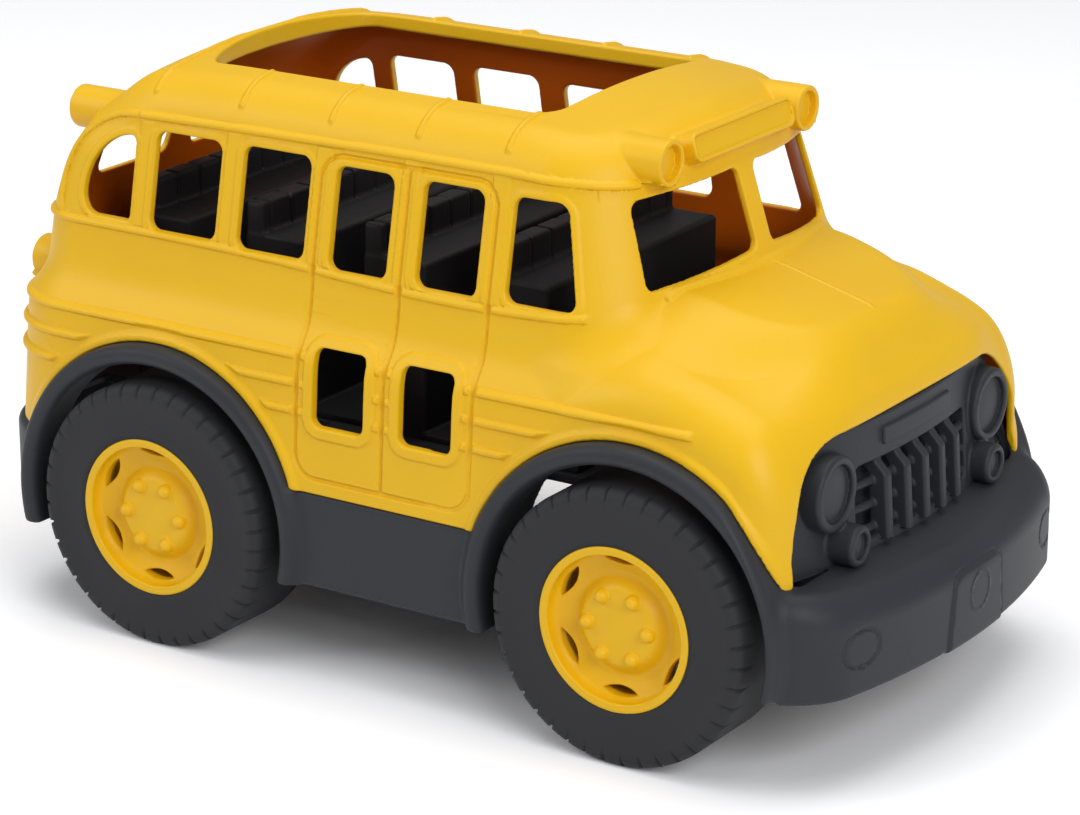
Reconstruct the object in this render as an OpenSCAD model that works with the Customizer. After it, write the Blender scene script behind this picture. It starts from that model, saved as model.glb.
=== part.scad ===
// Toy school bus with an open roof: moulded body shell on a dark chassis, four free-rolling wheels.
// +X is forward, +Y is the left side, +Z is up. The origin is on the floor, under the middle of the bus.

/* [Wheels] */
// Outside diameter of a tyre
tyre_d = 72; // [66:0.5:76]
// Width of a tyre
tyre_w = 28; // [22:0.5:30]
// Corner radius of the tread
tyre_round = 5; // [2:0.5:7]
// Height of a tyre's side wall
tyre_wall = 14.5; // [13:0.1:16]
// Width over the outer faces of the tyres
track_w = 146; // [140:0.5:152]
// Gap from the front tyre to the front end of the body
front_gap = 7.6; // [7:0.1:12]
// Gap from the rear tyre to the rear end of the body
rear_gap = 22.6; // [20:0.1:26]
// Diameter of an axle
axle_d = 6; // [5:0.1:8]
// Radial running clearance of an axle in its bearings
axle_clear = 0.08; // [0.04:0.01:0.1]
// Clearance of a seat where two fixed pieces meet
seat_clear = 0.05; // [0.02:0.01:0.1]
// Depth of the dished hub face below the tyre face
hub_dish = 6; // [3:0.5:9]
// Thickness of the hub web
hub_web = 3; // [2:0.5:5]
// Wall of the hub barrel
hub_wall = 2.4; // [1.6:0.2:4]
// Diameter of the raised hub centre
hub_boss_d = 21; // [16:0.5:24]
// Number of lugs and vents on a hub
lug_count = 6; // [4:1:8]
// Diameter of one lug
lug_d = 3.4; // [2:0.2:4]
// Height of one lug
lug_h = 1.4; // [0.6:0.2:2]
// Width of one hub vent
vent_w = 3.6; // [2:0.2:5]
// Free gap between a wheel and its bearing
wheel_gap = 0.4; // [0.3:0.1:1]

/* [Body] */
// Wall of the body shell
wall = 2.2; // [1.6:0.1:3]
// Height of the body's lower edge above the floor
sill_z = 51.3; // [48:0.1:54]
// Height of the lower side
side_h = 35; // [32:0.5:38]
// Height of the shoulder above the lower side
shoulder_h = 11.6; // [9:0.2:14]
// Height of the plain band under the belt
band_h = 10.7; // [8:0.1:13]
// Height from the belt to the gutter
glass_h = 33.4; // [31:0.2:36]
// Rise of the roof above the gutter
roof_h = 11.8; // [10:0.2:14]
// Width of the body at its lower edge
body_w = 136.8; // [132:0.2:140]
// Inward lean of the lower side
side_lean = 2.4; // [0:0.2:4]
// Inward step of the shoulder
shoulder_step = 6.2; // [4:0.2:9]
// Inward lean of the band
band_lean = 1.5; // [0:0.1:3]
// Inward lean of the window wall
glass_lean = 6.6; // [4:0.2:9]
// Radius of the roof edge
eave_r = 8; // [6:0.5:10]
// Place of the body's rear face at its lower edge
rear_x = -131.6; // [-134:0.1:-128]
// Corner radius of the body's rear, at its lower edge
corner_r = 25; // [22:0.5:30]
// Place of the front of the body
nose_x = 114.6; // [112:0.1:118]
// Corner radius of the front of the body
nose_r = 18; // [14:0.5:24]
// Gap from the tyre to the edge of the wheel arch
arch_gap = 10.6; // [9:0.2:12]
// Radius of the beads and ribs
bead_r = 1; // [0.6:0.1:1.4]
// Spacing of the three side ribs
rib_pitch = 7.2; // [6:0.1:8]
// How much shorter each lower rib is at the front
rib_step = 12; // [8:0.5:14]

/* [Cab and hood] */
// Place of the windshield's foot on the centre line
screen_x = 71; // [69:0.2:74]
// Height of the windshield's foot
screen_z = 113.5; // [111:0.1:116]
// Backward lean of the windshield in degrees
screen_lean = 18; // [14:0.5:22]
// Radius of the windshield's bow, seen from above
screen_bow = 110; // [90:5:150]
// Radius of the cab's front corners
cab_r = 13; // [9:0.5:16]
// Height of the fender at the cab
fender_z = 100; // [97:0.5:103]
// Fall of the fender from the cab to the front
fender_fall = 12; // [10:0.5:14]
// Radius of the rolled brow over the grille
brow_r = 7; // [5:0.5:9]
// Fall of the hood in degrees
hood_fall = 16.5; // [14:0.5:18]
// Length of the hood ahead of the windshield
hood_l = 30.5; // [27:0.5:33]
// Half width of the hood
hood_hw = 47; // [44:0.5:50]
// Shoulder radius of the hood
hood_r = 16; // [12:0.5:20]
// Height of the grille opening above the sill
grille_h = 32.7; // [30:0.1:35]
// Margin from the body's side to the grille opening
grille_margin = 10.4; // [9:0.1:12]
// Corner radius of the grille opening
grille_r = 20; // [16:0.5:24]

/* [Windows] */
// Front edge of the door
door_x = 25.2; // [23:0.1:27]
// Width of one door leaf
leaf_w = 26.8; // [25:0.1:28]
// Width of one rear window bay
bay_w = 28.3; // [26:0.1:30]
// Width of a rear side window
window_w = 19.6; // [16:0.1:21]
// Width of a door window
door_window_w = 16; // [13:0.1:18]
// Height of the side windows
window_h = 23.8; // [20:0.1:25]
// Sill of the side windows above the belt
window_sill = 1.9; // [1.5:0.1:3]
// Corner radius of the windows
window_r = 3; // [2:0.2:5]
// Rear edge of the front side window
vent_window_x = 31.8; // [30:0.1:34]
// Width of the front side window at its foot
vent_window_w = 18.6; // [15:0.1:19]
// Backward lean of its front edge, from foot to head
vent_window_lean = 5.2; // [3:0.1:7]
// Length of the arched rear side window
quarter_w = 15.8; // [13:0.1:17]
// Height of the lower door windows
low_window_h = 20.3; // [17:0.1:22]
// Foot of the lower door windows above the sill
low_window_foot = 18; // [16:0.1:20]
// Half width of the windshield's centre pillar
pillar_hw = 3.6; // [3:0.1:6]
// Outer end of a windshield pane from the centre line
pane_end = 43.6; // [41:0.1:45]
// Height of a windshield pane
pane_h = 21; // [18:0.2:22]
// Half width of the pillar between the rear windows
rear_pillar_hw = 5; // [3:0.1:6]
// Width of a rear window
rear_window_w = 30; // [24:0.5:34]

/* [Roof] */
// Half width of the roof opening
opening_hw = 35.2; // [32:0.2:36]
// Front edge of the roof opening
opening_front_x = 28.7; // [24:0.1:32]
// Rear end of the roof opening
opening_rear_x = -84; // [-88:0.5:-80]
// Length of its bowed rear end
opening_end_l = 10; // [8:0.5:14]
// Depth of the rim round the roof opening
rim_depth = 4.2; // [3:0.1:6]
// Diameter of a roof lamp tube
lamp_d = 12; // [10:0.2:13]
// Distance of the roof lamps from the centre line
lamp_y = 33.7; // [31:0.1:36]
// Distance of the rear lamps from the centre line
rear_lamp_y = 40; // [37:0.1:42]
// Length of a rear lamp
rear_lamp_l = 14.4; // [12:0.2:16]
// From the gutter down to a rear lamp's middle
rear_lamp_drop = 7.5; // [6:0.1:9]
// Length of the round bosses under the rear lamps
boss_l = 13.5; // [12:0.1:14]
// From the rear corner's start back to a boss's foot
boss_back = 10; // [9:0.5:11]
// From the hip up to a boss's middle
boss_rise = 5; // [4:0.1:6]
// Half width of the bare roof sign
sign_hw = 24.5; // [20:0.5:26]
// Height of the roof sign
sign_h = 6.6; // [5:0.1:8]

/* [Chassis] */
// Lower edge of the running boards
skirt_z = 25.7; // [22:0.1:28]
// Wall of the running boards and bumpers
skirt_wall = 3; // [2:0.2:4]
// Top of the chassis floor
floor_z = 61; // [59:0.2:63]
// Thickness of the chassis floor
floor_t = 2.6; // [2:0.2:4]
// Reach of the front bumper past the front end of the body
bumper_l = 19.4; // [16:0.2:22]
// From the front panel back to the bumper's rear edge
bumper_back = 14; // [12:0.5:16]
// Reach of the front bumper past the body's side
bumper_out = 0.6; // [0:0.1:2]
// Lower edge of the bumpers
bumper_z = 24; // [22:0.2:26]
// Radius of the front bumper's bow
bumper_bow = 214; // [160:2:280]
// Corner radius of the front bumper
bumper_r = 16; // [12:0.5:20]
// Reach of the rear bumper past the rear end of the body
tail_out = 2.4; // [1:0.1:4]
// Reach of the fender flares past the body's side
flare_out = 3.1; // [2:0.1:4]
// Gap from the tyre to the flare
flare_gap = 4.8; // [4:0.1:6]
// Width of an axle bearing
bearing_w = 5; // [4:0.5:8]
// Wall round an axle bearing
bearing_wall = 5; // [4:0.5:7]
// Half width of the bare plate on the bumper
plate_hw = 11; // [8:0.5:14]
// Height of the bare plate on the bumper
plate_h = 14; // [10:0.5:16]

/* [Grille and seats] */
// Depth of the grille panel's front face behind the front end of the body
panel_back = 4.6; // [3:0.2:7]
// Thickness of the grille panel
panel_t = 2.4; // [2:0.2:4]
// Clearance of the panel in its opening
panel_clear = 0.3; // [0.2:0.05:0.5]
// Margin from the grille opening's side to the slots
slot_inset = 31; // [29:0.5:34]
// Height of the grille slots
slot_h = 19; // [15:0.5:21]
// Number of upright slats
slat_count = 5; // [3:1:7]
// Width of one slat
slat_w = 3.2; // [2:0.2:4]
// Diameter of a headlamp
head_d = 22; // [18:0.5:23]
// Margin from the grille opening's side to a headlamp's middle
head_inset = 17.4; // [16:0.1:19]
// Height of a headlamp
head_z = 70; // [68:0.1:72]
// Diameter of a small lamp
marker_d = 10.6; // [8:0.2:12]
// Margin from the grille opening's side to a small lamp's middle
marker_inset = 21.8; // [20:0.1:24]
// Height of a small lamp
marker_z = 56.4; // [56:0.1:58]
// Number of seat rows
row_count = 4; // [3:1:4]
// Distance from one seat row to the next
row_pitch = 37.9; // [34:0.1:38]
// From the door's front edge back to the first seat back
first_seat_gap = 6.7; // [5:0.1:10]
// Height of a seat back above the floor
seat_back_h = 55.6; // [52:0.2:60]
// Thickness of a seat back
seat_back_t = 5.6; // [5:0.2:8]
// Height of a seat cushion above the floor
seat_h = 47.4; // [40:0.2:50]
// Depth of a seat cushion
seat_l = 13.6; // [10:0.2:16]
// Half width of a seat row
seat_hw = 41; // [36:0.5:42]
// Width and depth of the grooves across the seat backs
seat_slot = 1.2; // [0.8:0.1:1.4]
// Distance from one groove to the next
slot_pitch = 9.4; // [8:0.1:12]
// Wall of the hollow seats
seat_wall = 2; // [1.6:0.2:2.4]
// Length of the seat tray before the first row
tray_front = 8.7; // [4:0.1:10]

/* [Hidden] */
$fn = 48;
far = 200;
axle_z = tyre_d / 2;
rim_d = tyre_d - 2 * tyre_wall;
front_axle_x = nose_x - front_gap - tyre_d / 2;
rear_axle_x = rear_x + rear_gap + tyre_d / 2;
arch_r = tyre_d / 2 + arch_gap;
wheel_x = [front_axle_x, rear_axle_x];
panel_x = nose_x - panel_back;
bumper_x = nose_x + bumper_l;
tail_x = rear_x - tail_out;
bearing_y = track_w / 2 - tyre_w - 2;
hip_z = sill_z + side_h;
ledge_z = hip_z + shoulder_h;
belt_z = ledge_z + band_h;
gutter_z = belt_z + glass_h;
roof_z = gutter_z + roof_h;
sill_hw = body_w / 2;
flare_y = sill_hw + flare_out;
bumper_hw = sill_hw + bumper_out;
grille_hw = sill_hw - grille_margin;
head_y = grille_hw - head_inset;
marker_y = grille_hw - marker_inset;
slot_hw = grille_hw - slot_inset;
hip_hw = sill_hw - side_lean;
ledge_hw = hip_hw - shoulder_step;
belt_hw = ledge_hw - band_lean;
gutter_hw = belt_hw - glass_lean;
corner_x = rear_x + corner_r;
corner_y = sill_hw - corner_r;
window_z = belt_z + window_sill;
door_rear_x = door_x - 2 * leaf_w;
pane_z = screen_z + 1.2;
crown_a = 75;
crown_y = gutter_hw - eave_r + eave_r * cos(crown_a);
crown_drop = roof_h - eave_r * sin(crown_a);
crown_r = (crown_y * crown_y + crown_drop * crown_drop) / (2 * crown_drop);
rear_fall_x = -62;
first_seat_x = door_x - first_seat_gap;
hub_depth = tyre_w - 2;
axle_end = track_w / 2 - hub_dish - hub_web - 1;
rim_t = 2;
lamp_rim = panel_t - 0.4;
slot_foot = slat_w + 0.8;

body_yellow = "#f5b21a";
dark_grey = "#3b3e45";

// Roof line at a distance from the centre line, o inside the outer surface
function crown(y, o) = roof_z - crown_r + sqrt(pow(crown_r - o, 2) - y * y);

// Half of the body's section, from the sill to the roof, o inside the outer surface
function half_section(o) = concat(
    [[sill_hw - o, sill_z - 1], [sill_hw - o, sill_z], [hip_hw - o, hip_z]],
    [[ledge_hw - o, ledge_z], [belt_hw - o, belt_z], [gutter_hw - o, gutter_z]],
    [for (a = [15:15:crown_a])
        [gutter_hw - eave_r + (eave_r - o) * cos(a), gutter_z + (eave_r - o) * sin(a)]],
    [for (i = [5:-1:1]) [crown_y * i / 6, crown(crown_y * i / 6, o)]]);

function mirrored(points) = [for (p = points) [-p[0], p[1]]];
function backwards(points) = [for (i = [len(points) - 1:-1:0]) points[i]];

module section(o) {
    right = half_section(o);
    polygon(concat(right, backwards(mirrored(right))));
}

// Lays a plane drawn in Y and Z along the X axis
module along_x(x0, x1) {
    translate([x0, 0, 0]) rotate([90, 0, 90]) linear_extrude(x1 - x0) children();
}

// Lays a plane drawn in X and Z along the Y axis
module along_y(y0, y1) {
    translate([0, y1, 0]) rotate([90, 0, 0]) linear_extrude(y1 - y0) children();
}

module rounded(r) {
    offset(r = r) offset(delta = -r) children();
}

// Seen from above: the nose, with its rounded front corners
module nose_plan(o) {
    offset(delta = -o) rounded(nose_r)
        translate([0, -sill_hw]) square([nose_x, body_w]);
}

// Seen from the side: the fender line, falling to the front
module fender_side(o) {
    run = nose_x - brow_r - screen_x;
    low = fender_z - fender_fall;
    fall = [for (t = [0:0.125:1]) [screen_x + run * t, fender_z - fender_fall * pow(t, 1.6) - o]];
    brow = [for (a = [72:-18:0])
        [nose_x - brow_r + (brow_r - o) * cos(a), low - brow_r + (brow_r - o) * sin(a)]];
    polygon(concat([[0, sill_z - 1], [0, fender_z - o]], fall, brow, [[nose_x - o, sill_z - 1]]));
}

// Seen from above: the cab, bowed at the windshield
module cab_plan(o) {
    offset(delta = -o) rounded(cab_r) intersection() {
        translate([screen_x - screen_bow, 0]) circle(screen_bow, $fn = 120);
        translate([corner_x - far, -belt_hw]) square([2 * far, 2 * belt_hw]);
    }
}

module cab_mask(o) {
    translate([screen_x, 0, screen_z]) rotate([0, -screen_lean, 0]) translate([-screen_x, 0, -far])
        linear_extrude(2 * far) union() {
            cab_plan(o);
            translate([corner_x - far, -far]) square([far + door_x - corner_x, 2 * far]);
        }
}

// Seen from the side: the roof, falling a little to the rear
module roof_side(o) {
    top = crown(corner_y, 0);
    run = corner_x - rear_fall_x;
    fall = [for (t = [0:0.2:1]) [rear_fall_x + run * t, roof_z - (roof_z - top) * t * t - o]];
    polygon(concat([[far, sill_z - 1], [far, roof_z - o]], fall, [[corner_x, sill_z - 1]]));
}

// Body from the rear corners to the nose, under the roof
module long_body(o) {
    intersection() {
        along_x(corner_x, nose_x) section(o);
        union() {
            intersection() {
                cab_mask(o);
                along_y(-far, far) roof_side(o);
            }
            intersection() {
                translate([0, 0, sill_z - 1]) linear_extrude(far) nose_plan(o);
                along_y(-far, far) fender_side(o);
            }
        }
    }
}

module corner_section(o) {
    intersection() {
        translate([-corner_y, 0]) section(o);
        translate([0, sill_z - 1]) square([corner_r, far]);
    }
}

// Rounded rear of the body
module rear_body(o) {
    for (side = [1, -1])
        translate([corner_x, side * corner_y, 0]) rotate([0, 0, side > 0 ? 90 : 180])
            rotate_extrude(angle = 90) corner_section(o);
    along_y(-corner_y, corner_y) translate([corner_x, 0]) mirror([1, 0]) corner_section(o);
}

module hood_section(o) {
    hull() {
        for (side = [1, -1])
            translate([side * (hood_hw - 5 - hood_r), -hood_r - 1]) circle(hood_r - o);
        translate([o - hood_hw, -hood_hw]) square([2 * (hood_hw - o), hood_hw - hood_r]);
        translate([-hood_hw / 4, -1 - o]) square([hood_hw / 2, 1]);
    }
}

// Domed hood between the fenders, falling to the front
module hood(o) {
    intersection() {
        translate([screen_x, 0, screen_z]) rotate([0, hood_fall, 0]) translate([-screen_x, 0, 0])
            along_x(0, far) hood_section(o);
        translate([0, 0, sill_z - 1]) linear_extrude(far) offset(delta = -o) hood_plan();
        along_y(-far, far) hood_side(o);
    }
}

module hood_plan() {
    end_x = screen_x + hood_l + 6;
    rounded(hood_r)
        polygon([[0, -hood_hw], [screen_x, -hood_hw], [end_x, -0.8 * hood_hw],
            [end_x, 0.8 * hood_hw], [screen_x, hood_hw], [0, hood_hw]]);
}

module hood_side(o) {
    brow_z = sill_z + grille_h + 3;
    polygon([[screen_x - hood_l, sill_z - 1], [screen_x - hood_l, far], [screen_x + hood_l - o, far],
        [screen_x + hood_l - o, screen_z - hood_l * tan(hood_fall)], [nose_x - 3 - o, brow_z - o],
        [nose_x - 3 - o, sill_z - 1]]);
}

module body_solid(o) {
    long_body(o);
    rear_body(o);
    hood(o);
}

// Bead that runs along both sides and round the rear
module wrap_bead(z, half_w, front_x, r) {
    for (side = [1, -1]) {
        along_x(corner_x, front_x) translate([side * half_w, z]) circle(r);
        translate([corner_x, side * corner_y, 0]) rotate([0, 0, side > 0 ? 90 : 180])
            rotate_extrude(angle = 90) translate([half_w - corner_y, z]) circle(r);
    }
    along_y(-corner_y, corner_y) translate([corner_x - half_w + corner_y, z]) circle(r);
}

function side_at(z) = z < hip_z
    ? sill_hw - side_lean * (z - sill_z) / side_h
    : hip_hw - shoulder_step * (z - hip_z) / shoulder_h;

module beads() {
    wrap_bead(belt_z, belt_hw, screen_x - cab_r, bead_r);
    for (i = [0:2])
        wrap_bead(hip_z - i * rib_pitch, side_at(hip_z - i * rib_pitch), front_axle_x - i * rib_step, bead_r);
    for (side = [1, -1])
        along_x(corner_x, screen_x - cab_r) translate([side * gutter_hw, gutter_z]) circle(bead_r);
}

// Tube lamp on the roof: an open ring round a recessed lens
module tube_lamp(l, recess) {
    rotate([0, 90, 0]) difference() {
        cylinder(h = l, d = lamp_d);
        translate([0, 0, l - recess]) cylinder(h = recess + 1, d = lamp_d - 3);
    }
}

module roof_lamps() {
    lamp_z = gutter_z + 1;
    for (side = [1, -1]) {
        translate([screen_x - 2.6 * lamp_d, side * lamp_y, lamp_z]) tube_lamp(2 * lamp_d, 1.4);
        translate([corner_x, side * rear_lamp_y, gutter_z - rear_lamp_drop]) rotate([0, 0, 180])
            tube_lamp(rear_lamp_l, 1.4);
        translate([corner_x - boss_back, side * rear_lamp_y, hip_z + boss_rise]) rotate([0, 0, 180])
            tube_lamp(boss_l, 0.8);
    }
}

// Bare sign box over the windshield
module sign() {
    translate([screen_x - 9.5, 0, gutter_z + 2.2]) rotate([0, -screen_lean, 0]) difference() {
        cube([5, 2 * sign_hw, sign_h], center = true);
        translate([2.5, 0, 0]) cube([1, 2 * sign_hw - 2, sign_h - 2], center = true);
    }
}

module opening_plan() {
    rounded(6) union() {
        translate([opening_rear_x + opening_end_l, -opening_hw])
            square([opening_front_x - opening_rear_x - opening_end_l, 2 * opening_hw]);
        polygon([for (a = [90:6:270])
            [opening_rear_x + opening_end_l * (1 + cos(a)), opening_hw * sin(a)]]);
    }
}

module roof_rim() {
    intersection() {
        body_solid(0);
        translate([0, 0, roof_z - rim_depth - 2.6]) linear_extrude(far) offset(delta = rim_t) opening_plan();
    }
}

module window(x, w, z, h) {
    rounded(window_r, $fn = 24) translate([x - w / 2, z]) square([w, h]);
}

module side_windows() {
    for (i = [0, 1])
        window(door_rear_x - (i + 0.5) * bay_w, window_w, window_z, window_h);
    for (i = [0, 1])
        window(door_x - (i + 0.5) * leaf_w, door_window_w, window_z, window_h);
    rounded(window_r) polygon([[vent_window_x, window_z], [vent_window_x + vent_window_w, window_z],
        [vent_window_x + vent_window_w - vent_window_lean, window_z + window_h],
        [vent_window_x, window_z + window_h]]);
    quarter_window();
}

// Arched window behind the rear side windows
module quarter_window() {
    front = door_rear_x - 2 * bay_w - (bay_w - window_w) / 2 + 1;
    rounded(1.5) polygon(concat([[front, window_z], [front, window_z + window_h - 1.4]],
        [for (a = [90:10:180]) [front + quarter_w * cos(a), window_z + 6 + (window_h - 7.4) * sin(a)]],
        [[front - quarter_w + 4, window_z]]));
}

module low_windows() {
    for (i = [0, 1])
        window(door_x - (i + 0.5) * leaf_w, door_window_w, sill_z + low_window_foot, low_window_h);
}

module windshield_panes() {
    for (side = [1, -1])
        rounded(window_r) polygon([[side * pillar_hw, pane_z + 1], [side * pane_end, pane_z - 2],
            [side * (pane_end - 2), pane_z + pane_h - 2], [side * pillar_hw, pane_z + pane_h]]);
}

module rear_windows() {
    for (side = [1, -1])
        window(side * (rear_window_w / 2 + rear_pillar_hw), rear_window_w, window_z, window_h - 4);
}

// Seen from the front: the opening that the grille panel fills
module grille_outline(o) {
    offset(delta = -o) rounded(grille_r)
        translate([-grille_hw, sill_z - far]) square([2 * grille_hw, far + grille_h]);
}

module wheel_hole(r, y0, y1) {
    for (x = wheel_x)
        along_y(y0, y1) translate([x, axle_z]) circle(r);
}

module body_shell() {
    color(body_yellow) difference() {
        union() {
            difference() {
                union() {
                    body_solid(0);
                    beads();
                    roof_lamps();
                    sign();
                }
                body_solid(wall);
            }
            roof_rim();
        }
        translate([0, 0, sill_z - far]) linear_extrude(far) square([2 * far, 2 * far], center = true);
        translate([0, 0, gutter_z]) linear_extrude(far) opening_plan();
        along_y(-far, far) side_windows();
        along_y(-far, 0) low_windows();
        along_x(door_x + leaf_w / 2, nose_x) windshield_panes();
        along_x(-far, corner_x) rear_windows();
        along_x(nose_x - nose_r, far) grille_outline(0);
        wheel_hole(arch_r, -far, far);
    }
}

// Seen from above: the running boards and the floor, in line with the body's lower edge
module chassis_plan(o) {
    offset(delta = -o) hull() {
        for (side = [1, -1]) {
            translate([corner_x, side * corner_y]) circle(corner_r);
            translate([nose_x - nose_r - 4, side * (sill_hw - nose_r)]) circle(nose_r);
        }
    }
}

module ring(z0, z1, o0, o1) {
    translate([0, 0, z0]) linear_extrude(z1 - z0) difference() {
        chassis_plan(o0);
        chassis_plan(o1);
    }
}

module bumper_plan(o) {
    intersection() {
        offset(delta = -o) rounded(bumper_r) intersection() {
            translate([bumper_x - bumper_bow, 0]) circle(bumper_bow, $fn = 180);
            translate([0, -bumper_hw]) square([far, 2 * bumper_hw]);
        }
        translate([panel_x - bumper_back, -far]) square([far, 2 * far]);
    }
}

module front_bumper() {
    top = sill_z - 1.3;
    difference() {
        translate([0, 0, bumper_z]) linear_extrude(top - bumper_z) bumper_plan(0);
        translate([0, 0, bumper_z - 1])
            linear_extrude(top - skirt_wall - bumper_z + 1) bumper_plan(skirt_wall);
    }
    translate([bumper_x - 4.6, -plate_hw, (bumper_z + top - plate_h) / 2]) cube([4.6, 2 * plate_hw, plate_h]);
}

module rear_bumper() {
    difference() {
        translate([0, 0, bumper_z]) linear_extrude(sill_z - bumper_z) intersection() {
            translate([tail_x - rear_x, 0]) chassis_plan(0);
            translate([tail_x, -far]) square([corner_x - tail_x, 2 * far]);
        }
        translate([0, 0, bumper_z - 1]) linear_extrude(far) chassis_plan(skirt_wall);
    }
}

// Hangers that carry one axle under the floor
module bearings(x) {
    for (side = [1, -1]) {
        y0 = side > 0 ? bearing_y - bearing_w : -bearing_y;
        r = axle_d / 2 + bearing_wall;
        along_y(y0, y0 + bearing_w) translate([x, axle_z]) circle(r);
        translate([x - r, y0, axle_z]) cube([2 * r, bearing_w, floor_z - floor_t / 2 - axle_z]);
    }
}

// Rolled flare round one wheel, from the running board over the top and down again
module flare(x) {
    r0 = tyre_d / 2 + flare_gap;
    drop = asin((axle_z - skirt_z) / r0);
    for (side = [1, -1])
        translate([x, 0, axle_z]) mirror([0, side > 0 ? 1 : 0, 0]) rotate([90, drop, 0])
            rotate_extrude(angle = 180 + 2 * drop)
                translate([r0, sill_hw - 8]) square([arch_r - 0.1 - r0, flare_y - sill_hw + 8]);
}

module chassis() {
    fit = wall + panel_clear + side_lean / 3;
    color(dark_grey) difference() {
        union() {
            difference() {
                union() {
                    ring(skirt_z, sill_z, 0, skirt_wall + fit);
                    ring(sill_z - 4, floor_z, fit, fit + skirt_wall);
                    translate([0, 0, floor_z - floor_t]) linear_extrude(floor_t) chassis_plan(fit);
                    front_bumper();
                    rear_bumper();
                }
                wheel_hole(arch_r - 2, bearing_y - 0.5, far);
                wheel_hole(arch_r - 2, -far, 0.5 - bearing_y);
                translate([nose_x - nose_r - 4, -far, sill_z - 1.3]) cube([far, 2 * far, far]);
            }
            for (x = wheel_x) {
                bearings(x);
                flare(x);
            }
        }
        wheel_hole(axle_d / 2 + axle_clear, -far, far);
    }
}

// Ring of a lamp on the panel, with its lens set back
module panel_lamp(d, y, z, reach) {
    translate([panel_x - 0.5, y, z]) rotate([0, 90, 0]) difference() {
        cylinder(h = reach + 0.5, d = d);
        translate([0, 0, reach - 1]) cylinder(h = 2, d = d - 2 * lamp_rim);
    }
}

module grille_panel() {
    foot = sill_z - 1.3;
    slot_z = foot + slot_foot;
    slat_gap = (2 * slot_hw - slat_count * slat_w) / (slat_count + 1);
    color(dark_grey) {
        difference() {
            along_x(panel_x - panel_t, panel_x) intersection() {
                grille_outline(panel_clear);
                translate([-far, foot]) square([2 * far, far]);
            }
            along_x(0, far) for (i = [0:slat_count])
                translate([-slot_hw + i * (slat_gap + slat_w), slot_z]) square([slat_gap, slot_h]);
        }
        for (i = [1:slat_count])
            translate([panel_x - 0.5, -slot_hw + i * (slat_gap + slat_w) - slat_w, slot_z - 1])
                cube([3.5, slat_w, slot_h + 2]);
        for (i = [1:3])
            translate([panel_x - panel_t - 1.5, -slot_hw - 1, slot_z + i * slot_h / 4 - 0.8])
                cube([2, 2 * slot_hw + 2, 1.6]);
        for (side = [1, -1]) {
            panel_lamp(head_d, side * head_y, head_z, 5.3);
            panel_lamp(marker_d, side * marker_y, marker_z, 9.5);
        }
    }
}

// One seat row, o inside its outer surface, open below
module bench(o) {
    w = 2 * (seat_hw - o);
    translate([o - seat_back_t, o - seat_hw, -1]) cube([seat_back_t - 2 * o, w, seat_back_h + 1 - o]);
    translate([o - seat_back_t, o - seat_hw, -1]) cube([seat_back_t + seat_l - 2 * o, w, seat_h + 1 - o]);
}

// Grooves across the top of one seat back
module back_grooves() {
    n = floor((seat_hw - seat_slot) / slot_pitch);
    for (i = [-n:n])
        translate([-seat_back_t - 1, i * slot_pitch - seat_slot / 2, seat_back_h - seat_slot])
            cube([seat_back_t + 2, seat_slot, seat_slot + 1]);
}

module each_row() {
    for (row = [0:row_count - 1])
        translate([first_seat_x - row * row_pitch, 0, floor_z]) children();
}

module seat_insert() {
    tray_l = (row_count - 1) * row_pitch + seat_back_t + seat_l + tray_front;
    color(dark_grey) difference() {
        union() {
            translate([first_seat_x + seat_l + tray_front - tray_l, -seat_hw, floor_z])
                cube([tray_l, 2 * seat_hw, seat_wall]);
            each_row() bench(0);
        }
        each_row() bench(seat_wall);
        each_row() back_grooves();
        translate([-far, -far, floor_z - far]) cube([2 * far, 2 * far, far]);
    }
}

module axle(x) {
    color(dark_grey) along_y(-axle_end, axle_end) translate([x, axle_z]) circle(d = axle_d);
}

// Lens-shaped vent of a hub
module vent() {
    arc_r = 9;
    intersection() {
        translate([vent_w / 2 - arc_r, 0]) circle(arc_r);
        translate([arc_r - vent_w / 2, 0]) circle(arc_r);
    }
}

// Hub drawn with its outer face up, on the tyre's outer plane
module hub_shape() {
    boss_r = axle_d / 2 + 4;
    boss_foot = bearing_y + wheel_gap - track_w / 2;
    difference() {
        union() {
            rotate_extrude() {
                translate([rim_d / 2 - hub_wall - seat_clear, -hub_depth]) square([hub_wall, hub_depth]);
                translate([0, -hub_dish - hub_web]) square([rim_d / 2 - seat_clear - hub_wall / 2, hub_web]);
                translate([0, -hub_dish - hub_web]) square([hub_boss_d / 2, hub_web + hub_dish / 2]);
                translate([0, boss_foot]) square([boss_r, -boss_foot - hub_dish - 1]);
            }
            for (i = [0:lug_count - 1])
                rotate([0, 0, i * 360 / lug_count])
                    translate([0.42 * rim_d / 2, 0, -hub_dish / 2 - 1]) cylinder(h = lug_h + 1, d = lug_d);
        }
        translate([0, 0, boss_foot - 1])
            cylinder(h = axle_end - track_w / 2 - boss_foot + 1 + seat_clear, d = axle_d + 2 * seat_clear);
        for (i = [0:lug_count - 1])
            rotate([0, 0, (i + 0.5) * 360 / lug_count])
                translate([0.76 * rim_d / 2, 0, -hub_dish - hub_web - 1]) linear_extrude(hub_web + 2) vent();
    }
}

module tyre_shape() {
    rotate_extrude() rounded(tyre_round)
        translate([rim_d / 2, -tyre_w]) square([(tyre_d - rim_d) / 2, tyre_w]);
}

module on_wheel(x, side) {
    translate([x, side * track_w / 2, axle_z]) rotate([-90 * side, 0, 0]) children();
}

module hub(x, side) {
    color(body_yellow) on_wheel(x, side) hub_shape();
}

module tyre(x, side) {
    color(dark_grey) on_wheel(x, side) tyre_shape();
}

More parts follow.
